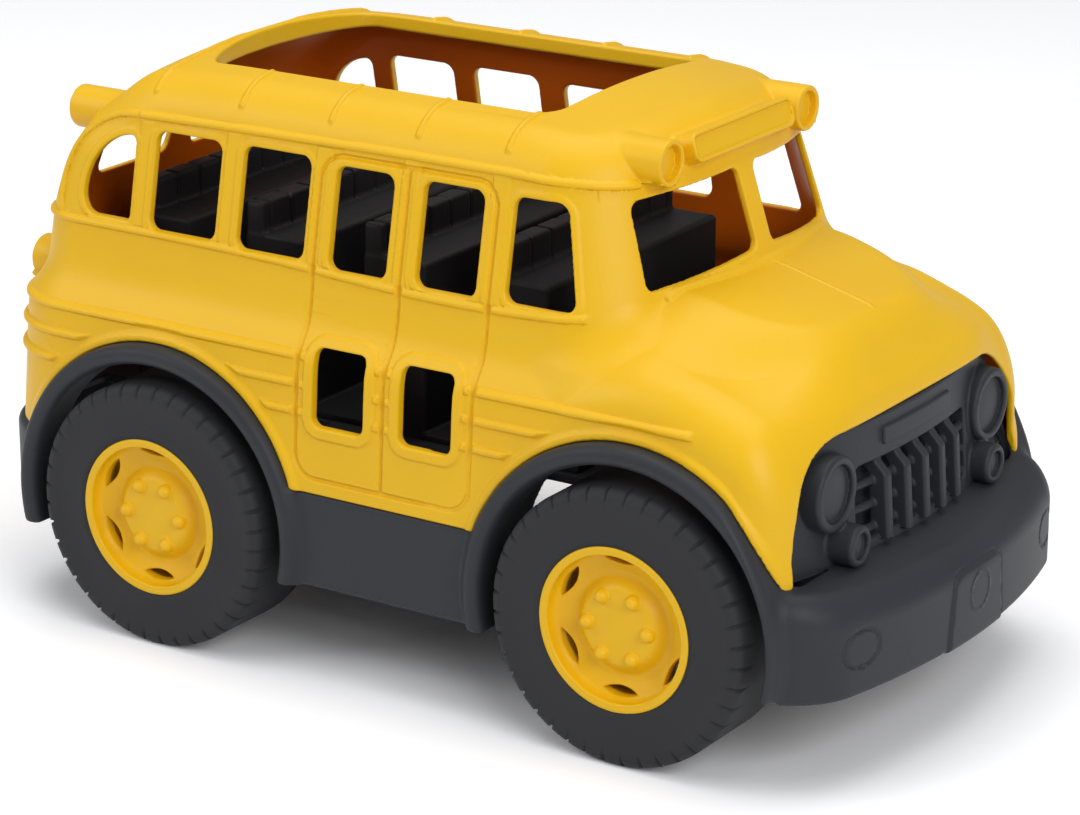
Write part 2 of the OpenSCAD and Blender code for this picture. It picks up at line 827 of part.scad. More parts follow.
body_shell();
chassis();
grille_panel();
seat_insert();
axle(front_axle_x);  // front_axle
axle(rear_axle_x);  // rear_axle
hub(front_axle_x, 1);  // hub_front_left
hub(front_axle_x, -1);  // hub_front_right
hub(rear_axle_x, 1);  // hub_rear_left
hub(rear_axle_x, -1);  // hub_rear_right
tyre(front_axle_x, 1);  // tyre_front_left
tyre(front_axle_x, -1);  // tyre_front_right
tyre(rear_axle_x, 1);  // tyre_rear_left
tyre(rear_axle_x, -1);  // tyre_rear_right
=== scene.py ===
"""Toy school bus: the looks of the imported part, its camera and its light.

The moulded pieces are drawn as distance fields in millimetres, so that every edge has the soft radius
of a moulding, and each field is turned into a mesh that stands for the CAD node of the same piece.
"""
import math
from concurrent.futures import ThreadPoolExecutor

import bpy
import numpy as np
from mathutils import Matrix, Vector


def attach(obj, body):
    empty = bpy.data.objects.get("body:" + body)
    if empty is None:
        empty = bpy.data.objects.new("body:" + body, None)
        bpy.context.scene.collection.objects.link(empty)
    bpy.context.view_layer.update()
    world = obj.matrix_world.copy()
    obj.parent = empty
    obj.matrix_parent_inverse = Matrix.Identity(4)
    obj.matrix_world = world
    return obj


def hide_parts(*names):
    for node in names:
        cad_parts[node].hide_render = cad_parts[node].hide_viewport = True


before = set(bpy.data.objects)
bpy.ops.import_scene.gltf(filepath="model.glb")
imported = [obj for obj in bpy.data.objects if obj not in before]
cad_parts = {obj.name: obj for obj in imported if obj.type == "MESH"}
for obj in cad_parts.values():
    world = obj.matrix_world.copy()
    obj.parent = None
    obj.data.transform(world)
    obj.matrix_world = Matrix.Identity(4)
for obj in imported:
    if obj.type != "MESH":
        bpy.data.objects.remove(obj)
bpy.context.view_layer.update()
MM = 0.001
FAR = 1e3
TINY = 1e-6

# Sizes in millimetres, as in the part's source: X forward, Y left, Z up
TYRE_R, TYRE_W, RIM_R = 36.0, 28.0, 21.5
TRACK = 146.0
FRONT_AXLE_X, REAR_AXLE_X = 71.0, -73.0
ARCH_R = 46.6
AXLE_R = 3.0
BEARING_Y = TRACK / 2 - TYRE_W - 2

WALL = 2.2
SILL_Z, HIP_Z, LEDGE_Z, BELT_Z, GUTTER_Z, ROOF_Z = 51.3, 86.3, 97.9, 108.6, 142.0, 153.8
SILL_HW, LEDGE_HW, BELT_HW, GUTTER_HW = 68.4, 59.8, 58.3, 51.7
REAR_X, CORNER_R, EAVE_R = -131.6, 25.0, 8.5
CORNER_X, CORNER_Y = REAR_X + CORNER_R, SILL_HW - CORNER_R
NOSE_X, NOSE_R = 114.6, 11.0
HOOD_X, HOOD_HW, HOOD_R = 105.5, 47.0, 24.0
SCREEN_X, SCREEN_Z, SCREEN_LEAN, SCREEN_BOW = 71.0, 113.5, math.radians(18), 110.0

DOOR_X, LEAF_W, BAY_W = 25.2, 26.8, 28.3
DOOR_REAR_X, DOOR_MID_X = DOOR_X - 2 * LEAF_W, DOOR_X - LEAF_W
WINDOW_Z, WINDOW_R = BELT_Z + 1.9, 3.0
# Middle, half width, foot and head of the windows
SIDE_WINDOWS = ((-70.95, 10.7, 109.8, 135.2), (-42.55, 10.7, 109.2, 135.4))
DOOR_WINDOWS = ((-14.75, 8.9, 108.3, 134.5), (12.2, 9.1, 108.1, 134.5))
VENT_REAR_X, VENT_FOOT_X, VENT_HEAD_X, VENT_Z, VENT_HEAD_Z = 29.8, 50.0, 44.3, 108.5, 134.5
QUARTER_X = DOOR_REAR_X - 2 * BAY_W - 3.35
LOW_WINDOW_Z, LOW_WINDOW_H, LOW_WINDOW_HW, LOW_WINDOW_R = SILL_Z + 18.0, 20.3, 7.9, 2.4
POSTS_X = [DOOR_REAR_X - 2 * BAY_W, DOOR_REAR_X - BAY_W, DOOR_REAR_X, DOOR_MID_X, DOOR_X]

OPENING_HW, OPENING_FRONT_X, OPENING_REAR_X, OPENING_END = 35.2, 28.7, -84.0, 10.0
FLOOR_Z, FLOOR_T = 61.0, 2.6
SKIRT_Z, SKIRT_WALL = 25.7, 3.0
BUMPER_X, BUMPER_HW, BUMPER_Z, BUMPER_BOW, BUMPER_R = 134.0, 69.0, 24.0, 214.0, 16.0
BUMPER_TOP = SILL_Z - 1.3
TAIL_X = -134.0
PANEL_X = 110.0
GRILLE_HW, GRILLE_TOP, GRILLE_R = 58.0, SILL_Z + 32.7, 20.0


# Distance fields: negative inside, in millimetres

def smooth_max(a, b, r):
    """Intersection of two fields, with a round of radius r along their edge."""
    u = np.maximum(a + r, 0)
    v = np.maximum(b + r, 0)
    return np.minimum(np.maximum(a, b), -r) + np.sqrt(u * u + v * v)


def smooth_min(a, b, r):
    """Union of two fields, with a fillet of radius r between them."""
    return -smooth_max(-a, -b, r)


def corner(a, b, r):
    """Corner of radius r, with a and b measured from the centre of its round."""
    return np.hypot(np.maximum(a, 0), np.maximum(b, 0)) + np.minimum(np.maximum(a, b), 0) - r


def box2(u, v, half_u, half_v, r):
    """Rectangle with rounded corners, centred on u = v = 0."""
    return corner(np.abs(u) - half_u + r, np.abs(v) - half_v + r, r)


def slab(t, low, high):
    """Distance to the span between two planes."""
    return np.maximum(low - t, t - high)


def ease(t, low, high):
    """0 below low, 1 above high, and a smooth step between."""
    s = np.clip((t - low) / (high - low), 0, 1)
    return s * s * (3 - 2 * s)


def past(t, soft):
    """0 before t = 0 and 1 after it, over a soft step."""
    return ease(t, -soft, soft)


def bead(d, r):
    """Height of a half-round bead of radius r at distance d from its middle."""
    return np.sqrt(np.maximum(r * r - d * d, 0))


def ridge(d, half, height, soft):
    """Height of a flat strip with soft edges."""
    return height * (1 - ease(np.abs(d), half - soft, half + soft))


class Curve:
    """A smooth line through a few points, for sections and edges."""

    def __init__(self, points, soft):
        at, value = zip(*points)
        self.low, self.step = at[0] - 4 * soft, 0.1
        grid = np.arange(self.low, at[-1] + 4 * soft, self.step)
        line = np.interp(grid, at, value)
        head = value[0] + (grid - at[0]) * (value[1] - value[0]) / (at[1] - at[0])
        tail = value[-1] + (grid - at[-1]) * (value[-1] - value[-2]) / (at[-1] - at[-2])
        line = np.where(grid < at[0], head, np.where(grid > at[-1], tail, line))
        reach = np.arange(-3 * soft, 3 * soft + self.step, self.step)
        kernel = np.exp(-0.5 * (reach / soft) ** 2)
        pad = len(kernel) // 2
        ends = np.pad(line, pad, mode="reflect", reflect_type="odd")
        self.line = np.convolve(ends, kernel / kernel.sum(), mode="valid")[:len(grid)].astype(np.float32)
        self.grid = grid.astype(np.float32)

    def __call__(self, t):
        return np.interp(t, self.grid, self.line).astype(np.float32)


# Half width of the body at each height, and of the front fenders
SIDE = Curve([(40, 68.9), (SILL_Z, SILL_HW), (84.6, 66.1), (88.2, 65.0), (93.2, 61.2), (LEDGE_Z, LEDGE_HW),
              (BELT_Z, BELT_HW), (GUTTER_Z, GUTTER_HW), (165, 47.2)], soft=1.6)
FENDER_SIDE = Curve([(40, 68.9), (SILL_Z, SILL_HW), (84.6, 66.1), (120, 63.6)], soft=1.6)
# Height along the bus of the fender tops, of the brow over the grille, of the gutter and of the hood
FENDER_TOP = Curve([(10, 78), (36, 87), (50, 95), (60, 98.6), (70, 99.8), (82, 98.6), (99, 92.4), (108, 86.8),
                    (113, 82), (130, 64)], soft=3.0)
BROW_TOP = Curve([(10, 78), (36, 88), (50, 97.5), (60, 101.4), (96, 101), (103, 99.4), (107, 96.4), (110, 92.4),
                  (114.6, 84.4), (130, 57)], soft=1.4)
GUTTER = Curve([(-120, 138.1), (-60, 139.3), (-10, 139.9), (28, 139.9), (46, 139.2), (56, 138.1), (66, 137.9)],
               soft=4.0)
HOOD_TOP = Curve([(30, 121.4), (71, 111.8), (87.7, 108.5), (101.5, 104.8), (130, 95)], soft=2.0)


def rear_plan(x, y):
    """The body seen from above at its lower edge, with its rounded rear corners."""
    return corner(CORNER_X - x, np.abs(y) - CORNER_Y, CORNER_R)


def cab_front(x, y, z):
    lean = math.tan(SCREEN_LEAN)
    edge = SCREEN_X - (z - SCREEN_Z) * lean - y * y / (2 * SCREEN_BOW)
    return (x - edge) * math.cos(SCREEN_LEAN)


# Roof: its crown across, and where and how it falls to the rear and to the front
ROOF_TOP_Z, ROOF_CROWN = ROOF_Z - 0.2, 520
REAR_FALL_X, REAR_FALL = -62, 560
FRONT_FALL_X, FRONT_FALL, FRONT_FALL_START = 28, 0.12, 6


def roof_top(x, y):
    """Height of the roof, falling a little to the sides, the rear and the front."""
    rear = np.maximum(REAR_FALL_X - x, 0)
    front = np.maximum(x - FRONT_FALL_X, 0)
    return (ROOF_TOP_Z - y * y / ROOF_CROWN - rear * rear / REAR_FALL
            - FRONT_FALL * front * front / (front + FRONT_FALL_START))


# Over the belt the rear end leans forward, and the eave grows rounder along the last part
REAR_LEAN = 0.0105
EAVE_GROWTH, EAVE_GROWS = 9, (84, 104)
CAB_R = 13
WALL_SLOPE = 0.95  # keeps distances true on walls that aren't upright


def cabin(x, y, z):
    over_belt = np.maximum(z - BELT_Z, 0)
    wall = (rear_plan(x - REAR_LEAN * over_belt * over_belt, y) + SILL_HW - SIDE(z)) * WALL_SLOPE
    front = cab_front(x, y, z)
    eave = EAVE_R + EAVE_GROWTH * ease(-x, *EAVE_GROWS)
    return smooth_max(smooth_max(wall, front, CAB_R), z - roof_top(x, y), eave)


def rounded_front(x, ay, front, half, r):
    """A plan that ends at front, with corners of radius r at its sides."""
    return corner(x - front + r, ay - half + r, r)


# Nose: where the brow gives way to the fenders, the bow of the front, the round of the upper edge
BROW_ENDS = (24, 60)
NOSE_BOW, NOSE_REAR_X = 0.0005, 12
NOSE_EDGE_R, NOSE_EDGE_GROWTH, NOSE_EDGE_GROWS = 3, 8, (34, 58)


def nose_top(x, ay):
    fender, brow = FENDER_TOP(x), BROW_TOP(x)
    return fender + (brow - fender) * (1 - ease(ay, *BROW_ENDS))


def nose(x, y, z):
    ay = np.abs(y)
    wall = rounded_front(x + NOSE_BOW * y * y, ay, NOSE_X, FENDER_SIDE(z), NOSE_R)
    slope = nose_top(x + 0.5, ay) - nose_top(x - 0.5, ay)
    over = (z - nose_top(x, ay)) / np.sqrt(1 + slope * slope)
    edge = NOSE_EDGE_R + NOSE_EDGE_GROWTH * ease(ay, *NOSE_EDGE_GROWS)
    return np.maximum(smooth_max(wall, over, edge), NOSE_REAR_X - x)


# Hood: how its sides draw in, its crown, the round of its upper edge
HOOD_TAPER, HOOD_TAPER_X, HOOD_CROWN, HOOD_REAR_X = 0.12, 72, 900, 40
HOOD_EDGE_R, HOOD_EDGE_GROWTH, HOOD_EDGE_GROWS = 6, 10, (12, 44)


def hood(x, y, z):
    ay = np.abs(y)
    wall = rounded_front(x, ay, HOOD_X, HOOD_HW - HOOD_TAPER * np.maximum(x - HOOD_TAPER_X, 0), HOOD_R)
    top = (z - HOOD_TOP(x) + y * y / HOOD_CROWN) * WALL_SLOPE
    edge = HOOD_EDGE_R + HOOD_EDGE_GROWTH * ease(ay, *HOOD_EDGE_GROWS)
    return np.maximum(smooth_max(wall, top, edge), HOOD_REAR_X - x)


# Rear end, front end, distance from the middle, height and radius of the lamps, and 1 where they face forward
LAMPS = ((36, 62.8, 33.7, GUTTER_Z + 1.1, 6.0, 1),
         (-117.8, -94, 40.0, GUTTER_Z - 7.5, 5.8, -1),
         (-131.2, -112, 42.0, HIP_Z + 5, 6.0, -1))
LAMP_WALL, LAMP_DEPTH, LAMP_EDGE_R = 1.5, 2.2, 0.5


def lamps(x, y, z):
    """Roof lamps, rear lamps and the round bosses below them, with set-back lenses."""
    ay = np.abs(y)
    out = np.full_like(x, FAR)
    for x0, x1, cy, cz, r, mouth in LAMPS:
        tube = np.hypot(ay - cy, z - cz) - r
        ring = smooth_max(tube, slab(x, x0, x1), LAMP_EDGE_R)
        lip = x1 if mouth > 0 else x0
        cup = np.maximum(tube + LAMP_WALL, (lip - LAMP_DEPTH * mouth - x) * mouth)
        out = np.minimum(out, smooth_max(ring, -cup, LAMP_EDGE_R))
    return out


SIGN_X, SIGN_Z, SIGN_HW, SIGN_HH, SIGN_R = 61.6, 144.3, 24.6, 3.9, 3.0
SIGN_BACK, SIGN_FRONT, SIGN_FLOOR, SIGN_BORDER = -8, 2.2, 1.5, 1.1


def sign(x, y, z):
    """Bare sign box over the windshield, with a raised border."""
    c, s = math.cos(SCREEN_LEAN), math.sin(SCREEN_LEAN)
    u = (x - SIGN_X) * c + (z - SIGN_Z) * s
    v = (z - SIGN_Z) * c - (x - SIGN_X) * s
    face = box2(y, v, SIGN_HW, SIGN_HH, SIGN_R)
    plate = smooth_max(face, slab(u, SIGN_BACK, SIGN_FRONT), 0.6)
    inset = np.maximum(face + SIGN_BORDER, SIGN_FLOOR - u)
    return smooth_max(plate, -inset, 0.3)


# Quarter window: height of its widest part over the sills, its length, its reach up and down
QUARTER_RISE, QUARTER_L, QUARTER_UP, QUARTER_DOWN = 6, 15.9, 16.6, 9.5
QUARTER_FOOT_Z = WINDOW_Z + 0.6
QUARTER_MEAN_R = 15.5


def quarter_oval(x, z, length, up, down):
    """1 on the oval about the front edge of the quarter window, less inside and more outside."""
    u = (x - QUARTER_X) / length
    v = (z - WINDOW_Z - QUARTER_RISE) / np.where(z > WINDOW_Z + QUARTER_RISE, up, down)
    return np.sqrt(u * u + v * v)


def quarter_window(x, z):
    """Arched window behind the rear side windows."""
    round_end = (quarter_oval(x, z, QUARTER_L, QUARTER_UP, QUARTER_DOWN) - 1) * QUARTER_MEAN_R
    return smooth_max(smooth_max(round_end, x - QUARTER_X, 2), QUARTER_FOOT_Z - z, 1.5)


def panes(x, z, places):
    """Upright windows with rounded corners."""
    out = np.full_like(x, FAR)
    for middle, half, foot, head in places:
        out = np.minimum(out, box2(x - middle, z - (foot + head) / 2, half, (head - foot) / 2, WINDOW_R))
    return out


def side_windows(x, z):
    lean = (VENT_FOOT_X - VENT_HEAD_X) / (VENT_HEAD_Z - VENT_Z)
    slant = (x - VENT_FOOT_X + (z - VENT_Z) * lean) / math.hypot(1, lean)
    upright = slab(z, VENT_Z, VENT_HEAD_Z)
    vent = smooth_max(smooth_max(slant, VENT_REAR_X - x, WINDOW_R), upright, WINDOW_R)
    out = np.minimum(quarter_window(x, z), panes(x, z, SIDE_WINDOWS))
    return np.minimum(np.minimum(out, vent), panes(x, z, DOOR_WINDOWS))


def low_windows(x, z):
    """Lower windows of the two door leaves."""
    half = LOW_WINDOW_H / 2
    middle = z - LOW_WINDOW_Z - half
    out = np.full_like(x, FAR)
    for i in (0, 1):
        out = np.minimum(out, box2(x - DOOR_X + (i + 0.5) * LEAF_W, middle, LOW_WINDOW_HW, half, LOW_WINDOW_R))
    return out


# Windshield: foot and head beside the pillar and their fall to the sides, the outer ends and their lean
PILLAR_HW, PANE_Y, PANE_R = 3.6, 5, 2.6
PANE_FOOT_Z, PANE_FOOT_FALL, PANE_HEAD_Z, PANE_HEAD_FALL = 115.6, 0.082, 135.9, 0.045
PANE_END, PANE_END_Z, PANE_END_LEAN = 43.8, 112.4, 0.08


def windshield(y, z):
    ay = np.abs(y)
    foot = PANE_FOOT_Z - (ay - PANE_Y) * PANE_FOOT_FALL - z
    head = z - PANE_HEAD_Z + (ay - PANE_Y) * PANE_HEAD_FALL
    sides = np.maximum(PILLAR_HW - ay, ay - PANE_END + (z - PANE_END_Z) * PANE_END_LEAN)
    return smooth_max(smooth_max(foot, head, PANE_R), sides, PANE_R)


REAR_WINDOW_Y, REAR_WINDOW_Z, REAR_WINDOW_HW, REAR_WINDOW_HH = 20, 121.6, 15, 7.1


def rear_windows(y, z):
    return box2(np.abs(y) - REAR_WINDOW_Y, z - REAR_WINDOW_Z, REAR_WINDOW_HW, REAR_WINDOW_HH, WINDOW_R)


OPENING_CROWN, OPENING_BOW, OPENING_R = 1, 1200, 6


def roof_opening(x, y):
    """The opening seen from above: a nearly straight front end and a bowed rear end."""
    front = smooth_max(x - OPENING_FRONT_X - OPENING_CROWN + y * y / OPENING_BOW, np.abs(y) - OPENING_HW, OPENING_R)
    u = (x - OPENING_REAR_X - OPENING_END) / OPENING_END
    v = y / OPENING_HW
    f = np.sqrt(u * u + v * v) + TINY
    bowed = (f - 1) * f / (np.hypot(u / OPENING_END, v / OPENING_HW) + TINY)
    return np.maximum(front, np.where(u < 0, bowed, np.abs(y) - OPENING_HW))


DOOR_MID_Z, DOOR_HH, DOOR_R = 96.1, 40.8, 6.5


def door_lines(x, z):
    """Distance to the outline of the two door leaves and the line between them."""
    u = x - DOOR_MID_X
    leaves = box2(u, z - DOOR_MID_Z, LEAF_W, DOOR_HH, DOOR_R)
    return np.minimum(np.abs(leaves), np.where(leaves < 0, np.abs(u), FAR))


def wheel_radius(x, z):
    """Distance from the nearer axle, seen from the side."""
    return np.minimum(np.hypot(x - FRONT_AXLE_X, z - TYRE_R), np.hypot(x - REAR_AXLE_X, z - TYRE_R))


ARCH_CLEAR, ARCH_DRAW, ARCH_DRAWS = 0.3, 2.4, (FRONT_AXLE_X + 26, FRONT_AXLE_X + 40)


def arch_edge(x):
    """Radius of the arches, which draw in a little at the front corners."""
    return ARCH_R - ARCH_CLEAR - ARCH_DRAW * ease(x, *ARCH_DRAWS)


BELT_BEAD_Z, BELT_DIP, BELT_DIP_X, BELT_DIP_L, BELT_END_X = BELT_Z + 0.5, 2.9, 15, 48, 52.6


def belt_line(x):
    """Height of the bead under the windows, which dips a little along the doors."""
    return BELT_BEAD_Z - BELT_DIP * np.exp(-((x - BELT_DIP_X) / BELT_DIP_L) ** 2)


# Relief: where the side walls, the right side and the tail begin, and how close beads come to the door lines
FLANK_Y, RIGHT_Y, TAIL_SPAN, LINE_CLEAR = (38, 44), (20, 21), (112, 116), (0.7, 1.7)
BEAD_R, BEAD_END, GUTTER_Y = 1.05, 1.5, (37, 39.5)
HOOP_L, HOOP_DOWN, HOOP_MEAN_R = 24.5, 36, 23
RIB_Z, RIB_PITCH, RIB_R, RIB_ENDS_X = 86.9, 7.2, 1.15, (88.0, 60.0, 50.0)
ARCH_ROLL_H, ARCH_ROLL, RIB_CLEAR = 0.9, (ARCH_R + 1.4, ARCH_R + 3.2), (ARCH_R + 3.0, ARCH_R + 5.0)
# Middle, half width, height and softness of the flat strips: window posts and frames of the windows
POST_SHIFT, POST_STRIP = 0.4, (2.4, 0.45, 0.35)
FRAME_MID, FRAME_STRIP = 0.8, (1.1, 0.35, 0.4)
DOOR_FRAME_MID, DOOR_FRAME_STRIP, DOOR_FRAME_REACH = 1.6, (1.5, 0.35, 0.4), 9
LOW_FRAME_MID, LOW_FRAME_STRIP, LOW_FRAME_CLEAR = 1.4, (1.6, 0.75, 0.45), (2.8, 3.6)
ROOF_RIB_R, ROOF_RIB_Z = 0.8, (GUTTER_Z + 1.6, GUTTER_Z + 3.2)
HOOD_LINE_R, HOOD_LINE_REAR, HOOD_LINE_FRONT, HOOD_LINE_Z = 0.6, (72, 74), 102, (98, 100)
DOOR_GROOVE, DOOR_GROOVE_HW = 0.75, (0.25, 0.75)


def relief(x, y, z, windows, low):
    """Height of the beads, ribs, frames and lines that are moulded into the outside of the body."""
    ay = np.abs(y)
    right = ease(-y, *RIGHT_Y)
    flank = np.minimum(ease(ay, *FLANK_Y) + ease(-x, *TAIL_SPAN), 1)
    lines = np.where(y < 0, door_lines(x, z), FAR)
    arch = wheel_radius(x, z) - arch_edge(x) + ARCH_R
    ended = ease(lines, *LINE_CLEAR)

    belt = bead(z - belt_line(x), BEAD_R) * past(BELT_END_X - x, 0.6) * ended
    gutter = bead(z - GUTTER(x), BEAD_R) * past(x - QUARTER_X, BEAD_END) * ease(ay, *GUTTER_Y)
    hoop_up = GUTTER(QUARTER_X) - WINDOW_Z - QUARTER_RISE
    hoop = (quarter_oval(x, z, HOOP_L, hoop_up, HOOP_DOWN) - 1) * HOOP_MEAN_R
    hooped = bead(hoop, BEAD_R) * ease(z, BELT_Z, BELT_Z + 3) * past(QUARTER_X - x, BEAD_END)
    out = np.maximum(flank * np.maximum(belt, hooped), gutter)

    framed = ease(low, *LOW_FRAME_CLEAR) * right + 1 - right
    clear = ease(arch, *RIB_CLEAR)
    for i, front_end in enumerate(RIB_ENDS_X):
        rib = bead(z - RIB_Z + RIB_PITCH * i, RIB_R) * past(front_end - x, 1)
        out = out + flank * rib * ended * framed * clear
    out = out + ARCH_ROLL_H * (1 - ease(arch, *ARCH_ROLL)) * flank * ease(z, SILL_Z - 2, SILL_Z + 1)

    over_belt = z - belt_line(x)
    wall = ease(over_belt, 0.6, 1.4) * (1 - ease(z - GUTTER(x), -1.8, -0.8)) * flank
    for post in POSTS_X:
        out = out + ridge(x - post - POST_SHIFT, *POST_STRIP) * wall
    out = out + wall * ridge(windows - FRAME_MID, *FRAME_STRIP)
    door_panes = np.minimum(panes(x, z, DOOR_WINDOWS), DOOR_FRAME_REACH)
    out = out + wall * right * ridge(door_panes - DOOR_FRAME_MID, *DOOR_FRAME_STRIP)
    out = out + right * flank * ridge(low - LOW_FRAME_MID, *LOW_FRAME_STRIP)

    roof = ease(z, *ROOF_RIB_Z) * ease(roof_opening(x, y), 0.6, 1.6)
    for post in POSTS_X:
        out = out + bead(x - post - POST_SHIFT, ROOF_RIB_R) * roof
    hood_line = bead(y, HOOD_LINE_R) * 0.6 * ease(x, *HOOD_LINE_REAR) * ease(HOOD_LINE_FRONT - x, 0, 2)
    out = out + hood_line * ease(z, *HOOD_LINE_Z)
    groove = DOOR_GROOVE * (1 - ease(lines, *DOOR_GROOVE_HW)) * ease(ay, *FLANK_Y)
    return out - groove


# Fillet between hood and fenders, which shrinks to the front
HOOD_FILLET, HOOD_FILLET_LOSS, HOOD_FILLET_SHRINKS = 16, 11, (70, 98)
COWL_R, COWL_HW = 1.4, 40
# Fillet between cab and fenders, which grows to the sides and starts over the hip
CAB_FILLET, CAB_FILLET_GROWTH, CAB_FILLET_GROWS, CAB_FILLET_Z = 1, 7, (40, 52), (86, 97)


def bonnet(x, y, z):
    """Hood and fenders in front of the cab."""
    fillet = HOOD_FILLET - HOOD_FILLET_LOSS * ease(x, *HOOD_FILLET_SHRINKS)
    return smooth_min(nose(x, y, z), hood(x, y, z), fillet)


def cowl(x, y, z):
    """Bead where the hood meets the cab, under the windshield."""
    crease = np.hypot(cab_front(x, y, z), bonnet(x, y, z)) - COWL_R
    return smooth_max(crease, np.abs(y) - COWL_HW, 0.6)


def body_skin(x, y, z):
    """The body without its lamps, windows and raised lines."""
    front = bonnet(x, y, z)
    fillet = (CAB_FILLET + CAB_FILLET_GROWTH * ease(np.abs(y), *CAB_FILLET_GROWS)) * ease(z, *CAB_FILLET_Z) + 0.01
    return smooth_min(cabin(x, y, z), front, fillet)


RIM_T, RIM_DEPTH = 2.0, 6.8
SKIN_RIM = 2.6


def inner_shade_field(x, y, z):
    """Depth below the skin, for the painted shade inside: a deeper orange that stands for the shade in the hollow
    shell. The rim of the roof opening is outside.
    """
    return np.maximum(body_skin(x, y, z), SKIN_RIM - roof_opening(x, y))


# Where holes may cut: side windows beyond SIDE_Y, windshield before CAB_X, grille before GRILLE_BACK_X
SIDE_Y, CAB_X, GRILLE_BACK_X = 30, 38, 97
GRILLE_WIDEN, GRILLE_WIDEN_Z = 0.1, 66


def body(x, y, z):
    """The shell: skin and relief outside, hollow inside, with its openings cut."""
    skin = body_skin(x, y, z)
    windows = np.where(np.abs(y) > SIDE_Y, side_windows(x, z), FAR)
    low = np.where(y < -SIDE_Y, low_windows(x, z), FAR)
    outer = smooth_min(skin, lamps(x, y, z), 0.8)
    outer = np.minimum(smooth_min(outer, sign(x, y, z), 0.8), cowl(x, y, z)) - relief(x, y, z, windows, low)
    shell = np.maximum(outer, -(skin + WALL))
    opening = roof_opening(x, y)
    rim = np.maximum(np.maximum(skin, opening - RIM_T), ROOF_Z - RIM_DEPTH - z)
    shell = np.minimum(shell, rim)
    shell = smooth_max(shell, -np.maximum(opening, GUTTER_Z - z), 0.8)
    holes = np.minimum(windows, low)
    holes = np.minimum(holes, np.where(x > CAB_X, windshield(y, z), FAR))
    holes = np.minimum(holes, np.where(x < CORNER_X, rear_windows(y, z), FAR))
    shell = smooth_max(shell, -holes, 0.7)
    sides = np.abs(y) - GRILLE_HW - (GRILLE_WIDEN_Z - z) * GRILLE_WIDEN
    grille_hole = smooth_max(z - GRILLE_TOP, sides, GRILLE_R)
    shell = smooth_max(shell, -np.maximum(grille_hole, GRILLE_BACK_X - x), 0.8)
    shell = smooth_max(shell, arch_edge(x) - wheel_radius(x, z), 0.6)
    return smooth_max(shell, SILL_Z - z, 0.5)


BOARD_SETBACK, BOARD_WALL = 4, 6.3


def chassis_plan(x, y):
    """The running boards and floor seen from above."""
    front = corner(x - (NOSE_X - BOARD_SETBACK - NOSE_R), np.abs(y) - (SILL_HW - NOSE_R), NOSE_R)
    return np.maximum(front, rear_plan(x, y))


# Front bumper: fall of its shelf, bare plate with a ring, and a round mark on each side
SHELF_RISE, SHELF_FALL, SHELF_FALLS, SHELF_R = 1.2, 3.4, (114, 131), 7
PLATE_H, PLATE_Z, PLATE_HW, PLATE_TAPER, PLATE_HH, PLATE_R = 0.8, 30, 14.0, 0.12, 13.6, 3.5
BADGE_Z, BADGE_R = 36.6, 5.0
MARK_Y, MARK_Z, MARK_R, MARK_WIDEN = 49.8, 36.3, 4.7, 0.76
BUMPER_FACE_X, BUMPER_BACK_X = (112, 116), PANEL_X - 13


def bumper_plan(x, y):
    bow = x - BUMPER_X + PLATE_H + y * y / (2 * BUMPER_BOW)
    return smooth_max(bow * 0.98, np.abs(y) - BUMPER_HW, BUMPER_R)


def front_bumper(x, y, z):
    plan = bumper_plan(x, y)
    ay = np.abs(y)
    shelf = z - BUMPER_TOP - SHELF_RISE + SHELF_FALL * ease(x, *SHELF_FALLS)
    crown = smooth_max(plan, shelf, SHELF_R)
    solid = smooth_max(crown, BUMPER_Z - z, 1.5)
    plate = box2(y, z - PLATE_Z, PLATE_HW - (z - PLATE_Z) * PLATE_TAPER, PLATE_HH, PLATE_R)
    badge = np.hypot(y, z - BADGE_Z)
    mark = np.hypot((ay - MARK_Y) * MARK_WIDEN, z - MARK_Z)
    lines = ridge(plate, 0.5, 0.4, 0.4) * ease(38 - ay, 0, 2) - (PLATE_H - 0.3) * (1 - ease(plate, -0.6, 0.4))
    rings = ridge(mark - MARK_R, 0.35, 0.5, 0.35) * ease(ay, 30, 34) - ridge(badge - BADGE_R, 0.35, 0.25, 0.3)
    skin = solid + (lines + rings) * ease(x, *BUMPER_FACE_X)
    hollow = crown + SKIRT_WALL
    return np.maximum(np.maximum(skin, -hollow), BUMPER_BACK_X - x)


TAIL_DROP, TAIL_RISE, TAIL_R, TAIL_L = 0.4, 0.8, 3, 11


def rear_bumper(x, y, z):
    plan = rear_plan(x - TAIL_X + REAR_X, y)
    bar = smooth_max(plan, slab(z, BUMPER_Z - TAIL_DROP, SILL_Z + TAIL_RISE), TAIL_R)
    return np.maximum(np.maximum(bar, -(rear_plan(x, y) + SKIRT_WALL)), x - CORNER_X + TAIL_L)


# Flares: inner radius, outer and inner face, crown of the outer face, edge round
FLARE_R0, FLARE_Y, FLARE_BACK_Y, FLARE_CROWN, FLARE_EDGE_R = TYRE_R + 4.8, 71.5, 60, 1.1, 1.6


def flares(x, y, z):
    """Rolled fender flares over the wheels."""
    arch = wheel_radius(x, z)
    edge = arch_edge(x) - 0.1
    mid = (FLARE_R0 + edge) / 2
    half = (edge - FLARE_R0) / 2
    crown = FLARE_CROWN * ((arch - mid) / half) ** 2
    across = np.abs(y) + crown - (FLARE_Y + FLARE_BACK_Y) / 2
    bar = box2(arch - mid, across, half, (FLARE_Y - FLARE_BACK_Y) / 2, FLARE_EDGE_R)
    return smooth_max(bar, SKIRT_Z - 0.2 - z, 1)


BEARING_R, BEARING_W = 8, 5


